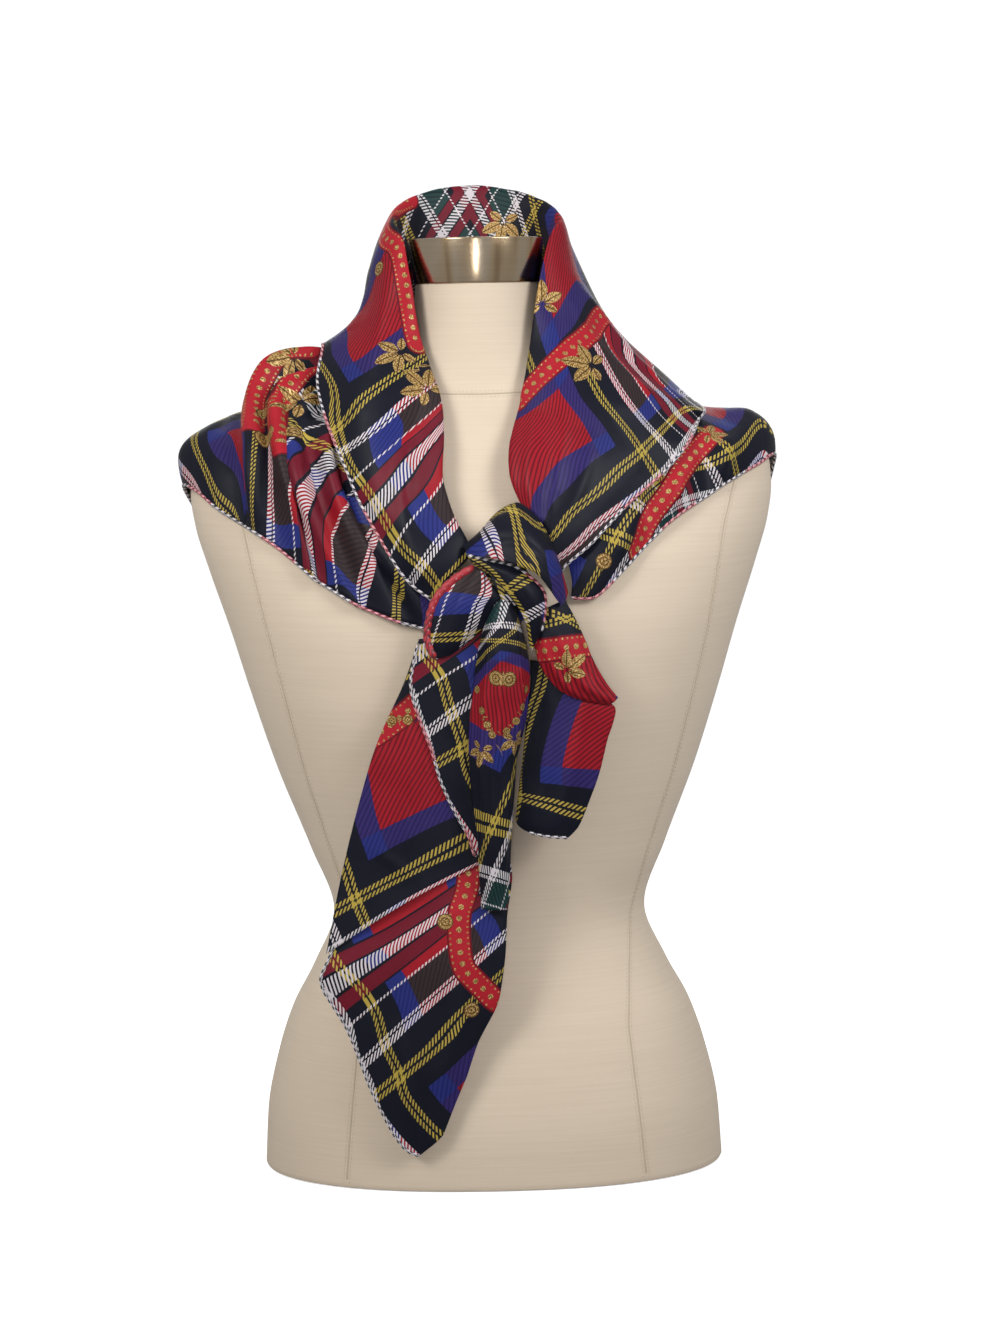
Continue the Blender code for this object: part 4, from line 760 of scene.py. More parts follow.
def turns(count):
    """Angles that go evenly round a ring."""
    return 2 * math.pi * np.arange(count) / count


def spread_to_corners(of_faces):
    """Give each grid point the largest value of the faces around it."""
    padded = np.pad(of_faces, 1, mode="constant")
    return np.maximum.reduce([padded[:-1, :-1], padded[1:, :-1], padded[:-1, 1:], padded[1:, 1:]])


def face_middles(grid):
    """Middle points of a grid's faces."""
    return (grid[:-1, :-1] + grid[1:, :-1] + grid[:-1, 1:] + grid[1:, 1:]) / 4


def clear_the_form(grid, clearance):
    """Move out what is too near the form, tested at the points and in the middle of the faces."""
    for _ in range(CLEARING_ROUNDS):
        distance, ways = form_distance(grid)
        in_faces, _ = form_distance(face_middles(grid))
        short = np.maximum(clearance - distance,
                           spread_to_corners(np.maximum(clearance - in_faces, 0)))
        grid = grid + ways * np.maximum(short, 0.0)[..., None]
    return grid


def layer_shortfall(points, tree):
    """How far points must be lifted to lie clear on the stretch below, and the ways out."""
    short = np.zeros(points.shape[:2])
    _, ways = form_distance(points)
    ways = unit(ways - np.array((0.0, FRONT_TILT, 0.0)) * (points[..., 1:2] < 0))
    for index in np.ndindex(short.shape):
        way_out = ways[index]
        side = np.cross(way_out, (0.0, 0.0, 1.0))
        side = side / max(float(np.linalg.norm(side)), TINY)
        up = np.cross(side, way_out)
        for a, b in ((0, 0), (1, 0), (-1, 0), (0, 1), (0, -1)):
            start = points[index] + way_out * LOOK_FROM + (side * a + up * b) * EDGE_REACH
            hit = tree.ray_cast(Vector(start), Vector(-way_out), LOOK_FROM + LAYER_STEP)
            if hit[0] is not None:
                short[index] = max(short[index], LOOK_FROM - hit[3] + LAYER_STEP - WALL / 2)
    return short, ways


def lie_on(grid, tree, from_column):
    """Lift a stretch off the one below it, softly round the places that need it."""
    at_points, ways = layer_shortfall(grid, tree)
    in_faces, _ = layer_shortfall(face_middles(grid), tree)
    needed = np.maximum(at_points, spread_to_corners(in_faces))
    needed[:, :from_column] = 0.0
    lift = needed
    for _ in range(SOFTENING_ROUNDS):
        padded = np.pad(lift, 1, mode="edge")
        around = (padded[:-2, 1:-1] + padded[2:, 1:-1] + padded[1:-1, :-2] + padded[1:-1, 2:]) / 4
        lift = np.maximum(needed, around)
    lift[:, :from_column] = 0.0
    return grid + ways * lift[..., None]


def walled(grid, thickness):
    """Closed wall round a grid: its outer and inner faces and the strip along its border."""
    normal = grid_normals(grid)
    rows, columns = grid.shape[:2]
    vertices = np.concatenate([(grid + normal * thickness / 2).reshape(-1, 3),
                               (grid - normal * thickness / 2).reshape(-1, 3)])
    shift = rows * columns
    corner = (np.arange(rows - 1)[:, None] * columns + np.arange(columns - 1)).ravel()
    outer = np.stack([corner, corner + columns, corner + columns + 1, corner + 1], axis=1)
    inner = outer[:, ::-1] + shift
    border = np.concatenate([np.arange(columns), np.arange(2, rows + 1) * columns - 1,
                             np.arange(rows * columns - 2, (rows - 1) * columns - 1, -1),
                             np.arange(rows - 2, 0, -1) * columns])
    after = np.roll(border, -1)
    strip = np.stack([border, after, after + shift, border + shift], axis=1)
    return vertices, np.concatenate([outer, inner, strip])


def plain(faces):
    """Faces as tuples of whole numbers."""
    return [tuple(map(int, face)) for face in faces]


class Wall(namedtuple("Wall", "vertices tree")):
    """Closed wall with a tree that finds what is near it."""
    @classmethod
    def of(cls, vertices, faces):
        return cls(vertices, BVHTree.FromPolygons([tuple(point) for point in vertices], plain(faces)))


def smallest_gap(wall, neighbours):
    """Smallest distance between a wall and its neighbours, 0 where they cross."""
    gap = SETTLE_REACH
    for neighbour in neighbours:
        if wall.tree.overlap(neighbour.tree):
            return 0.0
        for points, tree in ((wall.vertices, neighbour.tree), (neighbour.vertices, wall.tree)):
            for point in points:
                distance = tree.find_nearest(Vector(point), gap)[3]
                if distance is not None:
                    gap = min(gap, distance)
    return gap


def settle(grid, neighbours, way):
    """Shift a stretch one way until it all but touches a neighbour."""
    for _ in range(SETTLE_ROUNDS):
        spare = smallest_gap(Wall.of(*walled(grid, WALL)), neighbours) - SETTLE_GAP
        if spare < SETTLED:
            break
        grid = grid + way * spare
    return grid


def node_wall(name):
    """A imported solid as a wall, in millimetres."""
    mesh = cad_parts[name].data
    points = np.empty(len(mesh.vertices) * 3, np.float32)
    mesh.vertices.foreach_get("co", points)
    return Wall.of(points.reshape(-1, 3).astype(float) / MM, [face.vertices for face in mesh.polygons])


@lru_cache(maxsize=None)
def settled_grids():
    """Middle surface of every stretch where its solid has it, from the form outwards."""
    walls = {name: node_wall(name) for name in ("form_torso", "form_neck", "knot_core")}
    grids = {}
    for stretch in STRETCHES:
        grid = surface_through(stretch.table, stretch.along, stretch.across)
        grid = clear_the_form(grid, FORM_CLEARANCE)
        from_column = stretch.columns.index(stretch.lies_from) * stretch.across
        for below in stretch.over:
            grid = lie_on(grid, walls[below].tree, from_column)
        if stretch.name in SETTLE_BACK:
            grid = settle(grid, walls.values(), BACKWARDS)
        grids[stretch.name] = grid
        walls[stretch.name] = Wall.of(*walled(grid, WALL))
    for name in SETTLE_FORWARD:
        others = [wall for other, wall in walls.items() if other != name]
        grids[name] = settle(grids[name], others, FORWARDS)
    return grids


# ---------------------------------------------------------------- creases
def nearest_on_path(points, path):
    """Distance of points from a path and how far along it, from 0 to 1, each is nearest."""
    best = np.full(len(points), np.inf)
    share = np.zeros(len(points))
    for i in range(len(path) - 1):
        leg = path[i + 1] - path[i]
        t = np.clip((points - path[i]) @ leg / max(float(leg @ leg), 1e-9), 0.0, 1.0)
        distance = np.linalg.norm(points - path[i] - t[:, None] * leg, axis=1)
        nearer = distance < best
        best[nearer] = distance[nearer]
        share[nearer] = (i + t[nearer]) / (len(path) - 1)
    return best, share


def creased(grid, creases, rows_apart, columns_apart):
    """Raise ridges and press troughs: here and below, rows_apart and columns_apart are the samples
    in one step of a table."""
    normal = grid_normals(grid)
    points = grid.reshape(-1, 3)
    column_of = np.tile(np.arange(grid.shape[1]) / columns_apart, grid.shape[0])
    relief = np.zeros(len(points))
    for first_row, first_column, last_row, last_column, bend, depth, width in creases:
        t = np.linspace(0.0, 1.0, CREASE_SAMPLES)
        swing = np.sin(np.pi * t) * bend
        row = first_row + (last_row - first_row) * t
        column = first_column + (last_column - first_column) * t + swing
        i = np.clip(np.round(row * rows_apart).astype(int), 0, grid.shape[0] - 1)
        j = np.clip(np.round(column * columns_apart).astype(int), 0, grid.shape[1] - 1)
        distance, share = nearest_on_path(points, grid[i, j])
        aside = np.abs(column_of - np.interp(share, t, column))
        taper = np.sin(np.pi * np.clip(share, 0.0, 1.0)) ** CREASE_TAPER
        relief += np.where(aside < CREASE_REACH, depth * taper * np.exp(-(distance / width) ** 2), 0.0)
    return grid + normal * relief.reshape(grid.shape[:2])[..., None]


def cloth_print(grid, place, rows_apart, columns_apart):
    """Where each point lies on the printed square."""
    middle = int(round(place.column * columns_apart))
    across = np.linalg.norm(np.diff(grid, axis=1), axis=2)
    run = np.concatenate([np.zeros((len(grid), 1)), np.cumsum(across, axis=1)], axis=1)
    run = run - run[:, middle:middle + 1]
    path = refine(np.array(place.rows, float), rows_apart)
    turn = np.radians(path[:, 2])
    way = np.stack([np.cos(turn), np.sin(turn)], axis=1)
    return path[:, None, :2] + (run * path[:, 3:])[..., None] * way[:, None]


def sampled(grid, rows, columns):
    """Values of a grid between its points."""
    i = np.clip(np.floor(rows).astype(int), 0, grid.shape[0] - 2)
    j = np.clip(np.floor(columns).astype(int), 0, grid.shape[1] - 2)
    down, right = (rows - i)[..., None], (columns - j)[..., None]
    return ((grid[i, j] * (1 - down) + grid[i + 1, j] * down) * (1 - right)
            + (grid[i, j + 1] * (1 - down) + grid[i + 1, j + 1] * down) * right)


def beside_path(points, path):
    """How far along a flat path each point is, and how far from it."""
    along, aside = np.zeros(len(points)), np.full(len(points), FAR)
    run = 0.0
    for here, there in zip(path[:-1], path[1:]):
        length = max(float(np.linalg.norm(there - here)), TINY)
        way = (there - here) / length
        reach = np.clip((points - here) @ way, 0.0, length)
        off = points - here - reach[:, None] * way
        distance = np.linalg.norm(off, axis=1)
        nearer = distance < aside
        aside[nearer] = distance[nearer]
        along[nearer] = (run + reach)[nearer]
        run += length
    return along, aside


def on_patch(cloth, row, column, turn, size):
    """Cloth points in the flat measure of an ornament laid at a sample, and how far away each is."""
    here, right, down = (sampled(cloth, np.array(float(row + i)), np.array(float(column + j)))
                         for i, j in ((0, 0), (0, 2), (2, 0)))
    way = (right - here)[:3] / np.linalg.norm((right - here)[:3])
    down = (down - here)[:3] - ((down - here)[:3] @ way) * way
    off = cloth.reshape(-1, 4) - here
    x, y = off[:, :3] @ way / size, off[:, :3] @ down / np.linalg.norm(down) / size
    c, s = math.cos(math.radians(turn)), math.sin(math.radians(turn))
    return np.stack([x * c + y * s, y * c - x * s], axis=1), np.linalg.norm(off, axis=1) / size


def ornament_places(grid, ornament, rows_apart, columns_apart):
    """UV maps of the ornament: along and beside the nearest ribbon, the measures of the nearest
    sprig and disc, and whether a point is near them. Cloth has a fourth coordinate, for its layer."""
    layer = np.arange(grid.shape[1]) / columns_apart * LAYERS_APART
    cloth = np.concatenate([grid, np.broadcast_to(layer[None, :, None], grid.shape[:2] + (1,))], axis=2)
    ribbon, sprig, disc = (np.full((grid.shape[0] * grid.shape[1], 2), FAR) for _ in range(3))
    for spots in ornament.ribbons:
        rows, columns = refine(np.array(spots, float), RIBBON_SAMPLES).T
        along, aside = beside_path(cloth.reshape(-1, 4),
                                   sampled(cloth, rows * rows_apart, columns * columns_apart))
        nearer = aside < ribbon[:, 1]
        ribbon[nearer] = np.stack([along, aside], axis=1)[nearer]
    near = np.zeros(ribbon.shape)
    discs = [(row, column, 0.0, size) for row, column, size in ornament.discs]
    for kind, (places, found, reach) in enumerate(((ornament.sprigs, sprig, SPRIG_REACH),
                                                   (discs, disc, DISC_REACH))):
        for row, column, turn, size in places:
            spot, away = on_patch(cloth, row * rows_apart, column * columns_apart, turn, size)
            nearer = np.linalg.norm(spot, axis=1) < np.linalg.norm(found, axis=1)
            nearer &= away < reach * REACH_SPARE
            found[nearer] = spot[nearer]
            near[nearer, kind] = away[nearer] < reach
    return {"ribbon": ribbon * MM, "sprig": sprig * MM, "disc": disc * MM, "near": near}


def print_shifted(printed, ornament, rows_apart, columns_apart):
    """The print moved on beyond the last ribbon, under which the step is hidden."""
    spots = refine(np.array(ornament.ribbons[-1], float), RIBBON_SAMPLES)
    order = np.argsort(spots[:, 1])
    column = np.arange(printed.shape[1]) / columns_apart
    edge = np.interp(column, spots[order, 1], spots[order, 0])
    beyond = np.arange(len(printed))[:, None] / rows_apart > edge[None]
    return printed + beyond[..., None] * np.array(ornament.shift, float)


def waved(grid, printed):
    """Slow unevenness that no worn cloth is without."""
    a, b = printed[..., 0], printed[..., 1]
    height = sum(size * np.sin(2 * math.pi * (a * of_a + b * of_b) + phase)
                 for size, of_a, of_b, phase in WAVES)
    return grid + grid_normals(grid) * height[..., None]


# ---------------------------------------------------------------- meshes
def linked(name, data):
    """New object in the scene."""
    made = bpy.data.objects.new(name, data)
    bpy.context.scene.collection.objects.link(made)
    return made


def mesh_object(name, vertices, faces, material, smooth=True):
    """Mesh object from points in millimetres, in its place."""
    mesh = bpy.data.meshes.new(name)
    mesh.from_pydata((np.asarray(vertices, float) * MM).tolist(), [], plain(faces))
    mesh.validate()
    if smooth:
        mesh.shade_smooth()
    mesh.materials.append(material)
    return linked(name, mesh)


def set_uv(mesh, of_vertices, name="cloth"):
    """Write a UV map from one pair for each vertex."""
    layer = mesh.uv_layers.new(name=name)
    index = np.empty(len(mesh.loops), np.int32)
    mesh.loops.foreach_get("vertex_index", index)
    layer.data.foreach_set("uv", np.asarray(of_vertices, np.float32)[index].ravel())


def closed_column(rings):
    """Vertices and faces of a column through rings of points, closed at both ends."""
    around = len(rings[0])
    vertices = np.array([p for ring in rings for p in ring], float)
    last = len(vertices)
    faces = [tuple(range(around - 1, -1, -1)), tuple(range(last - around, last))]
    for i in range(len(rings) - 1):
        for k in range(around):
            a, b = i * around + k, i * around + (k + 1) % around
            faces.append((a, b, b + around, a + around))
    return vertices, faces


def path_frames(path, out):
    """Outward and sideways unit vectors along a path."""
    tangent = unit(np.gradient(path, axis=0))
    side = unit(np.cross(tangent, out))
    return np.cross(side, tangent), side


def resampled(path, spacing, *others):
    """A path at even steps, with other vectors that go along with it, and its length run."""
    run = np.concatenate([[0.0], np.cumsum(np.linalg.norm(np.diff(path, axis=0), axis=1))])
    even = np.linspace(0.0, run[-1], max(int(round(run[-1] / spacing)), 4) + 1)
    return (*(np.stack([np.interp(even, run, column) for column in vectors.T], axis=1)
              for vectors in (path, *others)), even)


def tube(path, out, run, radius, sides, twist_pitch=1.0, twist_depth=0.0):
    """Round tube along a path with blunt ends, its wall twisted like a cord if asked, and its UVs."""
    up, side = path_frames(path, out)
    rings, uvs = [], []
    ends = np.minimum(run, run[-1] - run)
    for i, here in enumerate(path):
        swell = min(1.0, math.sqrt(max(ends[i], BLUNT_END * radius) / radius))
        ring = []
        for k in range(sides):
            angle = 2 * math.pi * k / sides
            ridge = twist_depth * math.sin(angle * 2 + 2 * math.pi * run[i] / twist_pitch)
            ring.append(here + (radius * swell + ridge)
                        * (math.cos(angle) * up[i] + math.sin(angle) * side[i]))
            uvs.append((run[i] * MM, k / sides))
        rings.append(ring)
    return *closed_column(rings), np.array(uvs)


# ---------------------------------------------------------------- stitches that follow a path
def stitch_tree():
    """Geometry Nodes: lays one small stitch after another along a path of edges."""
    tree = bpy.data.node_groups.new("stitches_along_a_path", "GeometryNodeTree")
    face = tree.interface
    face.new_socket("Path", in_out="INPUT", socket_type="NodeSocketGeometry")
    for label in ("Spacing", "Length", "Thickness", "Slant"):
        face.new_socket(label, in_out="INPUT", socket_type="NodeSocketFloat")
    face.new_socket("Thread", in_out="INPUT", socket_type="NodeSocketMaterial")
    face.new_socket("Stitches", in_out="OUTPUT", socket_type="NodeSocketGeometry")

    def add(kind, settings=(), **sockets):
        node = tree.nodes.new(kind)
        for key, value in dict(settings).items():
            setattr(node, key, value)
        for key, value in sockets.items():
            socket = node.inputs[key.replace("_", " ")]
            if isinstance(value, bpy.types.NodeSocket):
                tree.links.new(value, socket)
            else:
                socket.default_value = value
        return node

    given = add("NodeGroupInput").outputs
    out = add("GeometryNodeInputNamedAttribute", {"data_type": "FLOAT_VECTOR"}, Name="out")
    line = add("GeometryNodeMeshToCurve", Mesh=given["Path"])
    even = add("GeometryNodeResampleCurve", {"mode": "LENGTH"}, Curve=line.outputs[0],
               Length=given["Spacing"])
    ball = add("GeometryNodeMeshUVSphere", Segments=6, Rings=4, Radius=0.5)
    stand = add("FunctionNodeAlignRotationToVector", {"axis": "Z"}, Vector=out.outputs["Attribute"])
    along = add("FunctionNodeAlignRotationToVector", {"axis": "X", "pivot_axis": "Z"},
                Rotation=stand.outputs[0], Vector=add("GeometryNodeInputTangent").outputs[0])
    lean = add("ShaderNodeCombineXYZ", Z=given["Slant"])
    turn = add("FunctionNodeRotateRotation", {"rotation_space": "LOCAL"}, Rotation=along.outputs[0])
    tree.links.new(lean.outputs[0], turn.inputs[1])
    size = add("ShaderNodeCombineXYZ", X=given["Length"], Y=given["Thickness"], Z=given["Thickness"])
    laid = add("GeometryNodeInstanceOnPoints", Points=even.outputs[0], Instance=ball.outputs["Mesh"],
               Rotation=turn.outputs[0], Scale=size.outputs[0])
    real = add("GeometryNodeRealizeInstances", Geometry=laid.outputs[0])
    smooth = add("GeometryNodeSetShadeSmooth", Geometry=real.outputs[0])
    finished = add("GeometryNodeSetMaterial", Geometry=smooth.outputs[0], Material=given["Thread"])
    add("NodeGroupOutput", Stitches=finished.outputs[0])
    return tree


def stitched(name, paths, material, spacing, length, thickness, slant=0.0):
    """Stitches along paths of (points, outward vectors) in millimetres, as one plain mesh object."""
    points, outs, edges = [], [], []
    for path, out in paths:
        edges += [(len(points) + i, len(points) + i + 1) for i in range(len(path) - 1)]
        points += (np.asarray(path) * MM).tolist()
        outs += np.asarray(out).tolist()
    guide_mesh = bpy.data.meshes.new(name + "_guide")
    guide_mesh.from_pydata(points, edges, [])
    layer = guide_mesh.attributes.new("out", "FLOAT_VECTOR", "POINT")
    layer.data.foreach_set("vector", np.asarray(outs, np.float32).ravel())
    guide = linked(name + "_guide", guide_mesh)
    modifier = guide.modifiers.new("stitches", "NODES")
    modifier.node_group = bpy.data.node_groups.get("stitches_along_a_path") or stitch_tree()
    given = {"Spacing": spacing * MM, "Length": length * MM, "Thickness": thickness * MM,
             "Slant": slant, "Thread": material}
    for item in modifier.node_group.interface.items_tree:
        if item.in_out == "INPUT" and item.name in given:
            modifier[item.identifier] = given[item.name]
    evaluated = guide.evaluated_get(bpy.context.evaluated_depsgraph_get())
    mesh = bpy.data.meshes.new_from_object(evaluated)
    mesh.name = name
    bpy.data.objects.remove(guide, do_unlink=True)
    return linked(name, mesh)


# ---------------------------------------------------------------- materials
# Noise scales are per metre, or three along x, y and z. A dark is the least of a shade. Bumps are
# strength and distance, a roughness is the least and what each unevenness adds
WHITE = (1.0, 1.0, 1.0)
SHADE_FROM, SHADE_TO = 0.3, 0.7     # of a noise, from its darkest to white
INK_CLOUD = 30.0
INK_DARK = 0.88
GOLD_GRAIN = 900.0
GOLD_STOPS = (0.34, 0.50, 0.66)
GOLD_METALLIC = 0.3
SILK_THREAD = 0.3       # height of its ribs beside the gold's grain
SILK_BUMP = (0.35, 0.00012)
SILK_ROUGHNESS = (0.40, 0.10, -0.06)
SILK = {"Sheen_Weight": 0.02, "Sheen_Roughness": 0.35, "Specular_IOR_Level": 0.14}
HEM_SPELLS = 22.0       # spells of one colour along a hem
HEM_SPELL_FROM = 0.52
HEM_GRAIN = 900.0
HEM_BUMP = (0.2, 0.0001)
HEM_ROUGHNESS = 0.5
HEM_SHEEN = 0.2
LINEN_SLUBS = (14.0, 14.0, 620.0)
LINEN_THREADS = (900.0, 900.0, 1700.0)
LINEN_CLOUD = 7.0
LINEN_SHARES = (0.6, 0.25, 0.15)    # of these three in its shade
LINEN_SHADES = ((0.30, (0.93, 0.925, 0.915)), (0.62, WHITE))
LINEN_HEIGHTS = (0.7, 0.3)
LINEN_BUMP = (0.30, 0.00025)
LINEN_ROUGHNESS = (0.82, 0.1)
LINEN = {"Sheen_Weight": 0.15, "Sheen_Roughness": 0.5, "Specular_IOR_Level": 0.3}
CAP_SCRATCHES = (9.0, 9.0, 2600.0)
CAP_SCRATCH_DARK = 0.86
CAP_SMEARS = 28.0
# Painted reflection on the cap: vertical light and dark bands in its colour stand in for the studio
# mirrored in its side
CAP_PAINTED_REFLECTION_BANDS = (75.0, 75.0, 0.0)
CAP_PAINTED_REFLECTION_SHADES = ((0.36, (0.60, 0.52, 0.42)), (0.46, (0.92, 0.84, 0.72)), (0.6, WHITE))
CAP_BUMP = (0.05, 0.0001)
CAP_ROUGHNESS = (0.13, 0.08, 0.05)
THREAD_CLOUD = 60.0
THREAD_DARK = 0.94
THREAD_ROUGHNESS = 0.8
SILK_THREAD_ROUGHNESS = 0.45
FLOOR_ROUGHNESS = 0.9


def srgb(red, green, blue):
    """Linear colour from a display colour in 0 to 255."""
    def linear(value):
        value = value / 255
        return value / 12.92 if value <= 0.04045 else ((value + 0.055) / 1.055) ** 2.4
    return tuple(linear(value) for value in (red, green, blue))


class Wire:
    """A socket that can be used in sums: an operator adds its Math node."""
    def __init__(self, graph, socket):
        self.graph = graph
        self.socket = socket

    def __neg__(self):
        return self.graph.math("MULTIPLY", self, -1.0)

    def __abs__(self):
        return self.graph.math("ABSOLUTE", self)


def math_method(operation, reverse=False):
    """Method of an operator with two sides; reverse where the socket is on the right."""
    def method(self, other):
        return self.graph.math(operation, *((other, self) if reverse else (self, other)))
    return method


for method_name, math_node in (("add", "ADD"), ("radd", "ADD"), ("sub", "SUBTRACT"),
                               ("mul", "MULTIPLY"), ("rmul", "MULTIPLY"), ("truediv", "DIVIDE"),
                               ("lt", "LESS_THAN"), ("gt", "GREATER_THAN")):
    setattr(Wire, f"__{method_name}__", math_method(math_node))
Wire.__rsub__ = math_method("SUBTRACT", reverse=True)
Wire.__rtruediv__ = math_method("DIVIDE", reverse=True)


class Graph:
    """A material's nodes, written as expressions."""
    def __init__(self, name):
        self.material = bpy.data.materials.new(name)
        self.material.use_nodes = True
        self.tree = self.material.node_tree
        self.shader = self.tree.nodes["Principled BSDF"]

    def plug(self, value, socket):
        """Link a socket, or set it to a number or colour."""
        if isinstance(value, Wire):
            self.tree.links.new(value.socket, socket)
        elif isinstance(value, tuple) and len(value) == 3 and socket.type == "RGBA":
            socket.default_value = (*value, 1.0)
        else:
            socket.default_value = value

    def add(self, kind, settings=(), sockets=(), output=0):
        """Any node: its settings first, then its sockets by name or number; gives one output."""
        node = self.tree.nodes.new(kind)
        for key, value in dict(settings).items():
            if key == "stops":
                self.set_stops(node.color_ramp, value)
            else:
                setattr(node, key, value)
        for key, value in dict(sockets).items():
            self.plug(value, node.inputs[key])
        return Wire(self, node.outputs[output])

    @staticmethod
    def set_stops(ramp, stops):
        """Give a new ramp its stops."""
        while len(ramp.elements) > 1:
            ramp.elements.remove(ramp.elements[-1])
        for k, (place, colour) in enumerate(stops):
            stop = ramp.elements[0] if k == 0 else ramp.elements.new(place)
            stop.position = place
            stop.color = (*colour, 1.0)[:4]

    def math(self, operation, *values):
        """Math node."""
        return self.add("ShaderNodeMath", {"operation": operation}, enumerate(values))

    def mix(self, factor, low, high, blend="MIX"):
        """Colour between low at 0 and high at 1."""
        return self.add("ShaderNodeMix", {"data_type": "RGBA", "blend_type": blend},
                        {0: factor, 6: low, 7: high}, output=2)

    def times(self, first, second):
        """One colour multiplied by another."""
        return self.mix(1.0, first, second, "MULTIPLY")

    def either(self, first, second):
        """1 where either mask is 1."""
        return self.math("MAXIMUM", first, second)

    def ramp(self, value, *stops):
        """Colour ramp from stops of a place and a colour."""
        return self.add("ShaderNodeValToRGB", {"stops": stops}, {0: value})

    def greys(self, value, dark):
        """Ramp from a grey to white."""
        return self.ramp(value, (SHADE_FROM, (dark,) * 3), (SHADE_TO, WHITE))

    def noise(self, where, scale, detail=2.0):
        """Noise between 0 and 1 at a place."""
        return self.add("ShaderNodeTexNoise", {}, {"Vector": where, "Scale": scale, "Detail": detail})

    def stretched(self, where, by):
        """A place multiplied along each axis."""
        return self.add("ShaderNodeVectorMath", {"operation": "MULTIPLY"}, {0: where, 1: by})

    def object_place(self):
        """Place in the object, in metres."""
        return self.add("ShaderNodeTexCoord", {}, {}, "Object")

    def parts(self, kind, whole):
        """The first three outputs of a separating node."""
        node = self.add(kind, {}, {0: whole}).socket.node
        return [Wire(self, node.outputs[k]) for k in range(3)]

    def map_place(self, name="cloth"):
        """The two coordinates of a UV map in millimetres, and both as a vector in metres."""
        uv = self.add("ShaderNodeUVMap", {"uv_map": name})
        first, second, _ = self.parts("ShaderNodeSeparateXYZ", uv)
        return first / MM, second / MM, uv

    def bump(self, height, strength, distance):
        """Set the normal from a height; strength and distance are the same all over."""
        given = {"Height": height, "Strength": strength, "Distance": distance}
        self.plug(self.add("ShaderNodeBump", {}, given), self.shader.inputs["Normal"])

    def finish(self, colour, roughness, **others):
        """Plug in the shader's colour, roughness and other inputs; gives the material."""
        for key, value in {"Base_Color": colour, "Roughness": roughness, **others}.items():
            self.plug(value, self.shader.inputs[key.replace("_", " ")])
        return self.material


def leaf_masks(x, y, leaf):
    """1 inside one pointed leaf, and 1 on its vein."""
    turn = math.radians(leaf.turn)
    along = x * math.cos(turn) + y * math.sin(turn) - LEAF_FOOT
    aside = abs(y * math.cos(turn) - x * math.sin(turn))
    reach = along * 2 / leaf.length - 1
    inside = aside < (1 - reach * reach) * (leaf.width / 2)
    return inside, aside < LEAF_VEIN


def bead_mask(graph, along, aside, pitch, radius):
    """1 inside a row of round beads."""
    x = (graph.math("FRACT", along / pitch) - 0.5) * pitch
    return (x * x + aside * aside) < radius * radius


def tartan_way(graph, value, colours):
    """One way of the tartan: masks of its kinds by name, and its plain colour."""
    kinds = ("red", "green", "blue", "clear"), ("white", "maroon", "yellow")
    place, tables = 0.0, ([], [], [])
    for width, kind in SETT:
        shown = tuple(getattr(colours, "navy" if kind == "clear" else kind))
        masked = [tuple(float(kind == name) for name in names) for names in kinds]
        for table, value_here in zip(tables, (*masked, shown)):
            table.append((place / HALF_SETT, value_here))
        place += width
    share = graph.math("PINGPONG", value, HALF_SETT) / HALF_SETT
    ramps = [graph.ramp(share, *table) for table in tables]
    for ramp in ramps:
        ramp.socket.node.color_ramp.interpolation = "CONSTANT"
    masks = {"clear": Wire(graph, ramps[0].socket.node.outputs["Alpha"])}
    for names, ramp in zip(kinds, ramps):
        masks.update(zip(names, graph.parts("ShaderNodeSeparateColor", ramp)))
    return masks, ramps[2]


def tartan(graph, a, b, colours):
    """The tartan's colour: grounds where two kinds cross, maroon strips, dashed lines."""
    first, plain_first = tartan_way(graph, a, colours)
    second, plain_second = tartan_way(graph, b, colours)
    dash = graph.math("FRACT", (a + b) / TWILL_PITCH) < DASH_SHARE
    rib = graph.math("FRACT", (a + b) / RIB_PITCH) < RIB_SHARE
    colour = tuple(colours.navy)
    for one, other, name, shade in CROSSINGS:
        where = first[one] * second[other]
        if one != other:
            where = graph.either(where, first[other] * second[one])
        ground = graph.mix(rib, tuple(getattr(colours, name)), tuple(getattr(colours, shade)))
        colour = graph.mix(where, colour, ground)
    colour = graph.mix(graph.either(first["maroon"], second["maroon"]), colour, tuple(colours.maroon))
    colour = graph.mix(graph.either(first["white"], first["clear"]), colour, plain_second)
    colour = graph.mix(graph.either(second["white"], second["clear"]) * (1 - first["white"]), colour,
                       plain_first)
    for line in ("yellow", "white"):
        dashes = graph.either(first[line] * dash, second[line] * (1 - dash))
        colour = graph.mix(dashes, colour, tuple(getattr(colours, line)))
    return colour


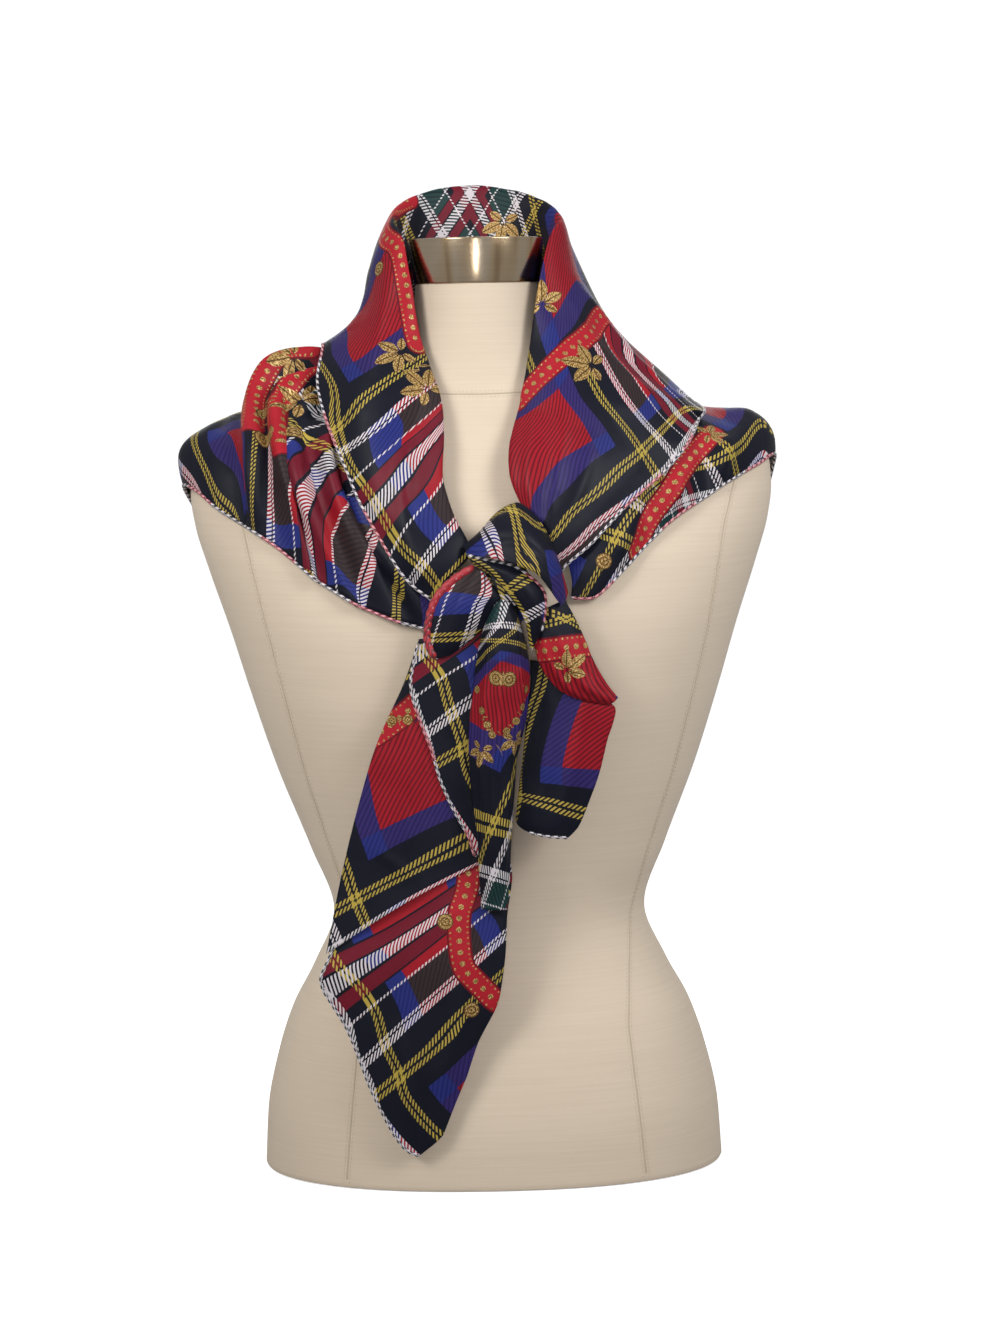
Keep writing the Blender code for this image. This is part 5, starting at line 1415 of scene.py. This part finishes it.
def silk_material(colours):
    """Printed silk twill: the tartan, its twill ribs, the red ribbon and the gold ornament."""
    graph = Graph("printed_silk")
    a, b, uv = graph.map_place()
    colour = tartan(graph, a, b, colours)
    along, aside, _ = graph.map_place("ribbon")
    colour = graph.mix(aside < RIBBON_WIDTH / 2, colour, tuple(colours.ribbon))
    rim = abs(aside - RIBBON_WIDTH / 2) < RIM_WIDTH
    colour = graph.mix(rim, colour, tuple(colours.red_shade))
    gold = graph.either(bead_mask(graph, along, aside, BEAD_PITCH, BEAD_RADIUS),
                        bead_mask(graph, along, aside - SEED_ASIDE, SEED_PITCH, SEED_RADIUS))
    near_sprig, near_disc, _ = graph.parts("ShaderNodeSeparateXYZ", graph.map_place("near")[2])
    near_sprig, near_disc = near_sprig > 0.5, near_disc > 0.5
    x, y, _ = graph.map_place("sprig")
    veins = 0.0
    for leaf in SPRIG:
        inside, vein = leaf_masks(x, y, leaf)
        inside = inside * near_sprig
        gold = graph.either(gold, inside)
        veins = graph.either(veins, inside * vein)
    x, y, _ = graph.map_place("disc")
    radius = graph.math("SQRT", x * x + y * y)
    disc = (radius < DISC_RADIUS) * near_disc
    gold = graph.either(gold, disc)
    rings = graph.math("FRACT", radius / DISC_RINGS) < DISC_RING_SHARE
    veins = graph.either(veins, disc * rings)
    glitter = graph.noise(uv, GOLD_GRAIN, 1.0)
    golds = (tuple(colours.gold_dark), tuple(colours.gold), tuple(colours.gold_light))
    shine = graph.ramp(glitter, *zip(GOLD_STOPS, golds))
    colour = graph.mix(gold, colour, graph.mix(veins, shine, tuple(colours.gold_dark)))
    cloud = graph.noise(uv, INK_CLOUD, 3.0)
    colour = graph.times(colour, graph.greys(cloud, INK_DARK))
    thread = graph.math("SINE", (a - b) / WEAVE_PITCH * 2 * math.pi)
    graph.bump(thread * SILK_THREAD + glitter * gold, *SILK_BUMP)
    rough, cloudy, golden = SILK_ROUGHNESS
    return graph.finish(colour, rough + cloud * cloudy + gold * golden, Metallic=gold * GOLD_METALLIC,
                        **SILK)


def hem_material(colours, name, first, second, third, fourth):
    """Rolled hem: the print twists round it as slanting dashes that change colour along it."""
    graph = Graph(name)
    along, around, uv = graph.map_place()
    dash = graph.math("FRACT", along / HEM_TWIST + around * MM) < DASH_SHARE
    spell = graph.noise(graph.stretched(uv, (1.0, 0.0, 0.0)), HEM_SPELLS, 0.0) > HEM_SPELL_FROM
    light = graph.mix(spell, tuple(getattr(colours, first)), tuple(getattr(colours, second)))
    dark = graph.mix(spell, tuple(getattr(colours, third)), tuple(getattr(colours, fourth)))
    graph.bump(graph.noise(uv, HEM_GRAIN), *HEM_BUMP)
    return graph.finish(graph.mix(dash, dark, light), HEM_ROUGHNESS, Sheen_Weight=HEM_SHEEN)


def linen_material(colours):
    """Natural linen, stretched smooth: uneven threads across, a fine plain weave."""
    graph = Graph("linen_cover")
    place = graph.object_place()
    slub = graph.noise(graph.stretched(place, LINEN_SLUBS), 1.0, 3.0)
    fine = graph.noise(graph.stretched(place, LINEN_THREADS), 1.0, 1.0)
    cloud = graph.noise(place, LINEN_CLOUD, 3.0)
    of_slub, of_fine, of_cloud = LINEN_SHARES
    shade = graph.ramp(slub * of_slub + fine * of_fine + cloud * of_cloud, *LINEN_SHADES)
    slub_height, fine_height = LINEN_HEIGHTS
    graph.bump(slub * slub_height + fine * fine_height, *LINEN_BUMP)
    rough, uneven = LINEN_ROUGHNESS
    return graph.finish(graph.times(tuple(colours.linen), shade), rough + fine * uneven, **LINEN)


def steel_material(colours):
    """Brushed metal: fine scratches run round the cap; vertical bands of painted reflection, lighter
    and darker, lie on its side.
    """
    graph = Graph("brushed_metal")
    place = graph.object_place()
    scratch = graph.noise(graph.stretched(place, CAP_SCRATCHES), 1.0, 4.0)
    smear = graph.noise(place, CAP_SMEARS)
    # Painted reflection: vertical bands, lighter and darker, multiplied into the metal's colour
    painted_reflection_bands = graph.noise(graph.stretched(place, CAP_PAINTED_REFLECTION_BANDS), 1.0, 1.0)
    shade = graph.times(graph.greys(scratch, CAP_SCRATCH_DARK), graph.ramp(painted_reflection_bands, *CAP_PAINTED_REFLECTION_SHADES))
    graph.bump(scratch, *CAP_BUMP)
    rough, scratched, smeared = CAP_ROUGHNESS
    return graph.finish(graph.times(tuple(colours.steel), shade),
                        rough + scratch * scratched + smear * smeared, Metallic=1.0)


def thread_material(name, colour, roughness):
    """Sewing thread with a little unevenness."""
    graph = Graph(name)
    shade = graph.greys(graph.noise(graph.object_place(), THREAD_CLOUD), THREAD_DARK)
    return graph.finish(graph.times(tuple(colour), shade), roughness)


def floor_material(colours):
    """Pale studio floor, which throws little light back up."""
    graph = Graph("pale_floor")
    seen = graph.add("ShaderNodeLightPath")
    pale = tuple(colours.floor)
    graph.plug(graph.mix(seen, (0.0, 0.0, 0.0), pale), graph.shader.inputs["Emission Color"])
    return graph.finish(graph.mix(seen, (FLOOR_BOUNCE,) * 3, pale), FLOOR_ROUGHNESS,
                        Emission_Strength=FLOOR_GLOW, Specular_IOR_Level=0.0)


HEM_COLOURS = {
    "hem_pink": ("hem_white_and_pink", "white", "pink", "navy", "maroon"),
    "hem_red": ("hem_red", "ribbon", "ribbon", "red", "red_shade"),
    "hem_navy": ("hem_white_and_navy", "white", "white", "navy", "green_shade"),
}


@lru_cache(maxsize=None)
def finish_of(name):
    """The materials by name, each made once."""
    colours = bpy.context.scene.scarf_colours
    if name in HEM_COLOURS:
        return hem_material(colours, *HEM_COLOURS[name])
    return {
        "silk": silk_material,
        "linen": linen_material,
        "steel": steel_material,
        "floor": floor_material,
        "thread": lambda colours: thread_material("seam_thread", colours.seam, THREAD_ROUGHNESS),
        "silk_thread": lambda colours: thread_material("silk_thread", colours.white,
                                                       SILK_THREAD_ROUGHNESS),
    }[name](colours)


# ---------------------------------------------------------------- settings shown in the sidebar
def colour_property(name, red, green, blue):
    """Setting for a colour, from a display colour in 0 to 255."""
    return FloatVectorProperty(name=name, description="Base colour of the " + name.lower(), size=3,
                               subtype="COLOR", min=0.0, max=1.0, default=srgb(red, green, blue))


def length_property(name, description, default):
    """Setting for a length in metres."""
    return FloatProperty(name=name, description=description, default=default, unit="LENGTH",
                         subtype="DISTANCE")


class ScarfColours(bpy.types.PropertyGroup):
    """Colours of the silk, the form and the stage."""
    red: colour_property("Red ground", 150, 24, 36)
    red_shade: colour_property("Dark red rib", 98, 16, 28)
    ribbon: colour_property("Red ribbon", 164, 30, 42)
    purple: colour_property("Purple ground", 50, 38, 96)
    purple_shade: colour_property("Purple rib", 34, 30, 78)
    blue: colour_property("Blue ground", 38, 46, 114)
    blue_shade: colour_property("Blue rib", 30, 36, 96)
    green: colour_property("Green ground", 28, 56, 55)
    green_shade: colour_property("Green rib", 22, 38, 42)
    brown: colour_property("Brown ground", 52, 39, 40)
    brown_shade: colour_property("Brown rib", 36, 30, 34)
    navy: colour_property("Navy ground", 17, 19, 31)
    yellow: colour_property("Yellow line", 176, 154, 68)
    white: colour_property("White line", 206, 199, 203)
    maroon: colour_property("Maroon line", 104, 22, 38)
    pink: colour_property("Pink line", 210, 140, 146)
    gold: colour_property("Gold leaf", 156, 120, 66)
    gold_dark: colour_property("Gold leaf shade", 80, 57, 30)
    gold_light: colour_property("Gold leaf glint", 212, 186, 128)
    linen: colour_property("Linen cover", 209, 193, 173)
    seam: colour_property("Seam thread", 186, 170, 149)
    steel: colour_property("Brushed metal", 208, 190, 166)
    floor: colour_property("Pale floor", 248, 248, 248)


class ScarfSizes(bpy.types.PropertyGroup):
    """Sizes of the cloth's finish."""
    shell: length_property("Cloth thickness", "Thickness of the silk as it shows", 0.0005)
    hem_radius: length_property("Hem radius", "Radius of the hand rolled hem", 0.0012)
    roll_radius: length_property("Roll radius", "Radius of the rolled edge at the knot", 0.0030)
    stitch_spacing: length_property("Stitch spacing", "From one hem stitch to the next", 0.0055)
    seam_spacing: length_property("Seam stitch spacing", "From one seam stitch to the next", 0.0032)


# ---------------------------------------------------------------- pieces
FINE_GRIDS = {}         # finished stretches, along which the hems are made
BORDERS = {             # a border of a grid, and the points next to it
    "left": (np.s_[:, 0], np.s_[:, 1]),
    "right": (np.s_[:, -1], np.s_[:, -2]),
    "bottom": (np.s_[-1], np.s_[-2]),
}


def belong(piece):
    """Tie a piece to the one body."""
    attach(piece, "root")


def build_stretch(name):
    """One stretch of the scarf: fine, creased, printed and thin."""
    stretch = next(one for one in STRETCHES if one.name == name)
    dress = DRESS[name]
    apart = stretch.along * dress.along, stretch.across * dress.across
    grid = surface_through(settled_grids()[name], dress.along, dress.across)
    printed = cloth_print(grid, dress.place, *apart)
    maps = ornament_places(grid, dress.ornament, *apart)
    if dress.ornament.shift:
        printed = print_shifted(printed, dress.ornament, *apart)
    grid = waved(creased(grid, dress.creases, *apart), printed)
    grid = clear_the_form(grid, SHELL_CLEARANCE)
    vertices, faces = walled(grid, bpy.context.scene.scarf_sizes.shell / MM)
    piece = mesh_object(name + "_silk", vertices, faces, finish_of("silk"))
    for name_of_map, places in {"cloth": printed.reshape(-1, 2) * MM, **maps}.items():
        set_uv(piece.data, np.tile(places, (2, 1)), name_of_map)
    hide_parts(name)
    belong(piece)
    FINE_GRIDS[name] = grid
    return piece


def build_hem(stretch, border, finish):
    """Rolled hem along a border, with its stitches."""
    sizes = bpy.context.scene.scarf_sizes
    thick = finish == THICK_ROLL
    radius = (sizes.roll_radius if thick else sizes.hem_radius) / MM
    grid, (edge, inside) = FINE_GRIDS[stretch], BORDERS[border]
    out, beyond = grid_normals(grid)[edge], unit(grid[edge] - grid[inside])
    path, out, beyond, run = resampled(grid[edge] + beyond * radius * HEM_BEYOND, HEM_STEP, out, beyond)
    vertices, faces, uvs = tube(path, out, run, radius, HEM_SIDES,
                                HEM_TWIST * (THICK_TWIST if thick else 1.0), radius * HEM_TWIST_DEPTH)
    name = stretch + "_" + border + "_hem"
    hem = mesh_object(name, vertices, faces, finish_of(finish))
    set_uv(hem.data, uvs)
    row = path - beyond * radius * STITCH_INSIDE + out * radius * STITCH_ABOVE
    stitches = stitched(name + "_stitches", [(row, out)], finish_of("silk_thread"),
                        sizes.stitch_spacing / MM, STITCH_LENGTH, STITCH_THICKNESS, STITCH_SLANT)
    belong(hem)
    belong(stitches)
    return [hem, stitches]


def build_stretches(names):
    """Stretches with their hems."""
    for name in names:
        piece = build_stretch(name)
        trims = [made for hem in HEMS if hem[0] == name for made in build_hem(*hem)]
        dress = DRESS[name]
        width, length = dress.cut
        width * MM
        length * MM


def form_ring(height):
    """One superellipse ring of the form."""
    half, front_depth, back_depth, power = form_section(height)
    c, s = np.cos(turns(FORM_AROUND)), np.sin(turns(FORM_AROUND))
    depth = np.where(s < 0, front_depth, back_depth)
    return np.stack([half * np.sign(c) * np.abs(c) ** (2 / power),
                     depth * np.sign(s) * np.abs(s) ** (2 / power),
                     np.full(FORM_AROUND, float(height))], axis=1)


def neck_seam_height(y):
    """Height of the sloping neck seam at a depth."""
    return SEAM_HEIGHT + y * math.tan(math.radians(SEAM_SLOPE))


def form_path(side, table):
    """Path down the form through a seam's table, and its outward vectors."""
    heights, places = np.array(table, float).T
    z = np.arange(heights[0], heights[-1], -SEAM_STEP)
    x = np.interp(z, heights[::-1], places[::-1])
    path = np.array([(a, form_depth(a, c, side), c) for a, c in zip(x, z)])
    return path, unit(form_distance(path)[1])


def build_seam(name, node, path, out):
    """Sewn seam: a low welt sunk in the cover, with a stitch row on each side of it."""
    path, out, run = resampled(path, SEAM_STEP, out)
    vertices, faces, uvs = tube(path - out * SEAM_SINK, out, run, SEAM_RADIUS, SEAM_SIDES)
    welt = mesh_object(name, vertices, faces, finish_of("thread"))
    set_uv(welt.data, uvs)
    _, side = path_frames(path, out)
    rows = [(path + side * way * SEAM_ROW + out * SEAM_LIFT, out) for way in (-1, 1)]
    stitches = stitched(name + "_stitches", rows, finish_of("thread"),
                        bpy.context.scene.scarf_sizes.seam_spacing / MM, SEAM_STITCH_LENGTH,
                        SEAM_STITCH_THICKNESS)
    belong(welt)
    belong(stitches)


def solid_of_rings(name, rings, finish, node):
    """Closed piece through rings of points that takes a node's place."""
    piece = mesh_object(name, *closed_column(rings), finish_of(finish))
    piece.data.set_sharp_from_angle(angle=SHARP)
    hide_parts(node)
    belong(piece)
    return piece


# ---------------------------------------------------------------- operators
class SCARF_OT_form_torso(bpy.types.Operator):
    """Linen torso down to its flat underside, with its sewn seams"""
    bl_idname = "scarf.form_torso"
    bl_label = "Torso"

    def execute(self, context):
        rings = []
        for height in (*BASE_HEIGHTS, *np.linspace(TORSO_FOOT, FORM[-1].height, TORSO_RINGS)):
            inset = BASE_EDGE * (1 - math.sqrt(1 - (1 - min(height / BASE_EDGE, 1.0)) ** 2))
            ring = form_ring(height)
            ring[:, :2] *= 1 - inset / FORM[0].front
            top = neck_seam_height(ring[:, 1])
            over = ring[:, 2] >= top
            for k in np.flatnonzero(over):
                ring[k] = (*form_ring(top[k])[k, :2], top[k])
            rings.append(ring)
            if over.all():
                break
        solid_of_rings("torso_cover", rings, "linen", "form_torso")
        for name, side, table in TORSO_SEAMS:
            build_seam(name, "form_torso", *form_path(side, table))
        return {"FINISHED"}


class SCARF_OT_form_neck(bpy.types.Operator):
    """Linen neck above the neck seam"""
    bl_idname = "scarf.form_neck"
    bl_label = "Neck"

    def execute(self, context):
        rings = []
        for height in np.linspace(NECK_FOOT, FORM_TOP, NECK_RINGS):
            ring = form_ring(height)
            for k, foot in enumerate(neck_seam_height(ring[:, 1]) + SEAM_GAP):
                if height < foot:
                    ring[k] = form_ring(foot)[k]
            rings.append(ring)
        solid_of_rings("neck_cover", rings, "linen", "form_neck")
        angles = np.linspace(0, 2 * math.pi, NECK_SEAM_POINTS)
        half_x, half_y = NECK_SEAM_HALF
        seam = np.stack([np.cos(angles) * half_x, np.sin(angles) * half_y, angles * 0], axis=1)
        for _ in range(NECK_SEAM_ROUNDS):
            seam[:, 2] = neck_seam_height(seam[:, 1])
            distance, ways = form_distance(seam)
            seam = seam - ways * distance[:, None]
        build_seam("neck_seam", "form_neck", seam, unit(form_distance(seam)[1]))
        return {"FINISHED"}


class SCARF_OT_neck_cap(bpy.types.Operator):
    """Brushed metal cap on the neck"""
    bl_idname = "scarf.neck_cap"
    bl_label = "Neck cap"

    def execute(self, context):
        (foot, foot_radius), (head, head_radius) = CAP_FOOT, CAP_HEAD
        edges = [(CAP_EDGE * (1 - math.cos(turn)), CAP_EDGE * (1 - math.sin(turn)))
                 for turn in (math.pi / 2 * k / CAP_ROUNDING for k in range(CAP_ROUNDING + 1))]
        profile = [(foot + small, foot_radius - large) for small, large in edges]
        profile += [(head - large, head_radius - small) for small, large in edges]
        profile += [(head, head_radius - CAP_RIM), (head - CAP_DISH, head_radius - CAP_RIM - CAP_DISH)]
        c, s = np.cos(turns(CAP_AROUND)), np.sin(turns(CAP_AROUND))
        rings = [np.stack([radius * c, radius * s, np.full(CAP_AROUND, height)], axis=1)
                 for height, radius in profile]
        solid_of_rings("metal_cap", rings, "steel", "neck_cap")
        return {"FINISHED"}


class SCARF_OT_capes(bpy.types.Operator):
    """Lower layer on the shoulders and the back"""
    bl_idname = "scarf.capes"
    bl_label = "Shoulder layer"

    def execute(self, context):
        build_stretches(CAPES)
        return {"FINISHED"}


class SCARF_OT_collar(bpy.types.Operator):
    """Rolled collar with its two lapels"""
    bl_idname = "scarf.collar"
    bl_label = "Collar"

    def execute(self, context):
        build_stretches(("collar_roll",))
        return {"FINISHED"}


class SCARF_OT_tails(bpy.types.Operator):
    """Both tails and the gathered column"""
    bl_idname = "scarf.tails"
    bl_label = "Tails"

    def execute(self, context):
        build_stretches(TAILS)
        return {"FINISHED"}


class SCARF_OT_knot(bpy.types.Operator):
    """The passes of cloth at the knot and the hidden layers in it"""
    bl_idname = "scarf.knot"
    bl_label = "Knot"

    def execute(self, context):
        build_stretches(KNOT)
        (cx, cy, cz), (rx, ry, rz) = KNOT_CORE_CENTRE, KNOT_CORE_HALF
        angles = turns(CORE_AROUND)
        fold = 1 + CORE_FOLD * np.sin(angles * CORE_FOLDS)
        rings = [np.stack([cx + rx * math.cos(tilt) * np.cos(angles) * fold,
                           cy + ry * math.cos(tilt) * np.sin(angles) * fold,
                           np.full(CORE_AROUND, cz + rz * math.sin(tilt))], axis=1)
                 for tilt in np.linspace(-math.pi / 2, math.pi / 2, CORE_RINGS)[1:-1]]
        core = solid_of_rings("hidden_layers", rings, "silk", "knot_core")
        places = np.array([(v.co.x + v.co.y, v.co.z) for v in core.data.vertices])
        set_uv(core.data, places + np.array(CORE_PRINT) * MM)
        for name_of_map, far in (("ribbon", FAR), ("sprig", FAR), ("disc", FAR), ("near", 0.0)):
            set_uv(core.data, np.full((len(places), 2), far * MM), name_of_map)
        return {"FINISHED"}


class SCARF_OT_stage(bpy.types.Operator):
    """Pale floor, soft lights and the camera"""
    bl_idname = "scarf.stage"
    bl_label = "Stage"

    def execute(self, context):
        scene = context.scene
        rim = [(math.cos(turn) * FLOOR_RADIUS / MM, math.sin(turn) * FLOOR_RADIUS / MM, -FLOOR_DROP)
               for turn in turns(FLOOR_CORNERS)]
        floor = mesh_object("floor", rim, [range(FLOOR_CORNERS)], finish_of("floor"), smooth=False)
        world = scene.world or bpy.data.worlds.new("studio")
        scene.world = world
        world.use_nodes = True
        nodes, links = world.node_tree.nodes, world.node_tree.links
        sky, backdrop = nodes["Background"], nodes.new("ShaderNodeBackground")
        for background, strength in ((sky, SKY_STRENGTH), (backdrop, BACKDROP_STRENGTH)):
            background.inputs["Color"].default_value = (*WHITE, 1.0)
            background.inputs["Strength"].default_value = strength
        either = nodes.new("ShaderNodeMixShader")
        links.new(nodes.new("ShaderNodeLightPath").outputs["Is Camera Ray"], either.inputs[0])
        links.new(sky.outputs[0], either.inputs[1])
        links.new(backdrop.outputs[0], either.inputs[2])
        links.new(either.outputs[0], nodes["World Output"].inputs["Surface"])
        for light in LIGHTS:
            lamp = bpy.data.lights.new(light.name, "AREA")
            lamp.shape = "RECTANGLE"
            lamp.size, lamp.size_y = light.size
            lamp.energy = light.power
            lamp.color = light.colour
            lamp.spread = math.radians(light.spread)
            placed = linked(light.name, lamp)
            placed.location = light.at
            way = Vector(light.aim) - placed.location
            placed.rotation_euler = way.to_track_quat("-Z", "Y").to_euler()
        lens = bpy.data.cameras.new("camera")
        lens.lens = CAMERA_LENS
        lens.sensor_fit = "VERTICAL"
        lens.sensor_height = CAMERA_SENSOR
        camera = linked("camera", lens)
        forward = (Vector(CAMERA_AIM) - Vector(CAMERA_AT)).normalized()
        right = forward.cross(Vector((0, 0, 1))).normalized()
        up = right.cross(forward)
        roll = math.radians(CAMERA_ROLL)
        turned = math.cos(roll) * right + math.sin(roll) * up
        upright = -math.sin(roll) * right + math.cos(roll) * up
        axes = Matrix((turned, upright, -forward)).transposed().to_4x4()
        camera.matrix_world = Matrix.Translation(CAMERA_AT) @ axes
        scene.camera = camera
        scene.view_settings.view_transform = "Standard"
        scene.view_settings.look = "None"
        return {"FINISHED"}


class SCARF_PT_sidebar(bpy.types.Panel):
    """Settings and the steps that build each piece"""
    bl_idname = "SCARF_PT_sidebar"
    bl_label = "Silk Scarf"
    bl_space_type = "VIEW_3D"
    bl_region_type = "UI"
    bl_category = "Scarf"

    def draw(self, context):
        for group in (context.scene.scarf_sizes, context.scene.scarf_colours):
            box = self.layout.box()
            for key in group.__annotations__:
                box.prop(group, key)
        for step in STEPS:
            self.layout.operator(step.bl_idname)


STEPS = (SCARF_OT_stage, SCARF_OT_form_torso, SCARF_OT_form_neck, SCARF_OT_neck_cap, SCARF_OT_capes,
         SCARF_OT_collar, SCARF_OT_tails, SCARF_OT_knot)
CLASSES = (ScarfColours, ScarfSizes, *STEPS, SCARF_PT_sidebar)


def register():
    for kind in CLASSES:
        bpy.utils.register_class(kind)
    bpy.types.Scene.scarf_colours = PointerProperty(type=ScarfColours)
    bpy.types.Scene.scarf_sizes = PointerProperty(type=ScarfSizes)


def unregister():
    del bpy.types.Scene.scarf_sizes
    del bpy.types.Scene.scarf_colours
    for kind in reversed(CLASSES):
        bpy.utils.unregister_class(kind)


def main():
    """Build everything, one operator after another."""
    register()
    for step in STEPS:
        group, action = step.bl_idname.split(".")
        getattr(getattr(bpy.ops, group), action)()


if __name__ == "__main__":
    main()
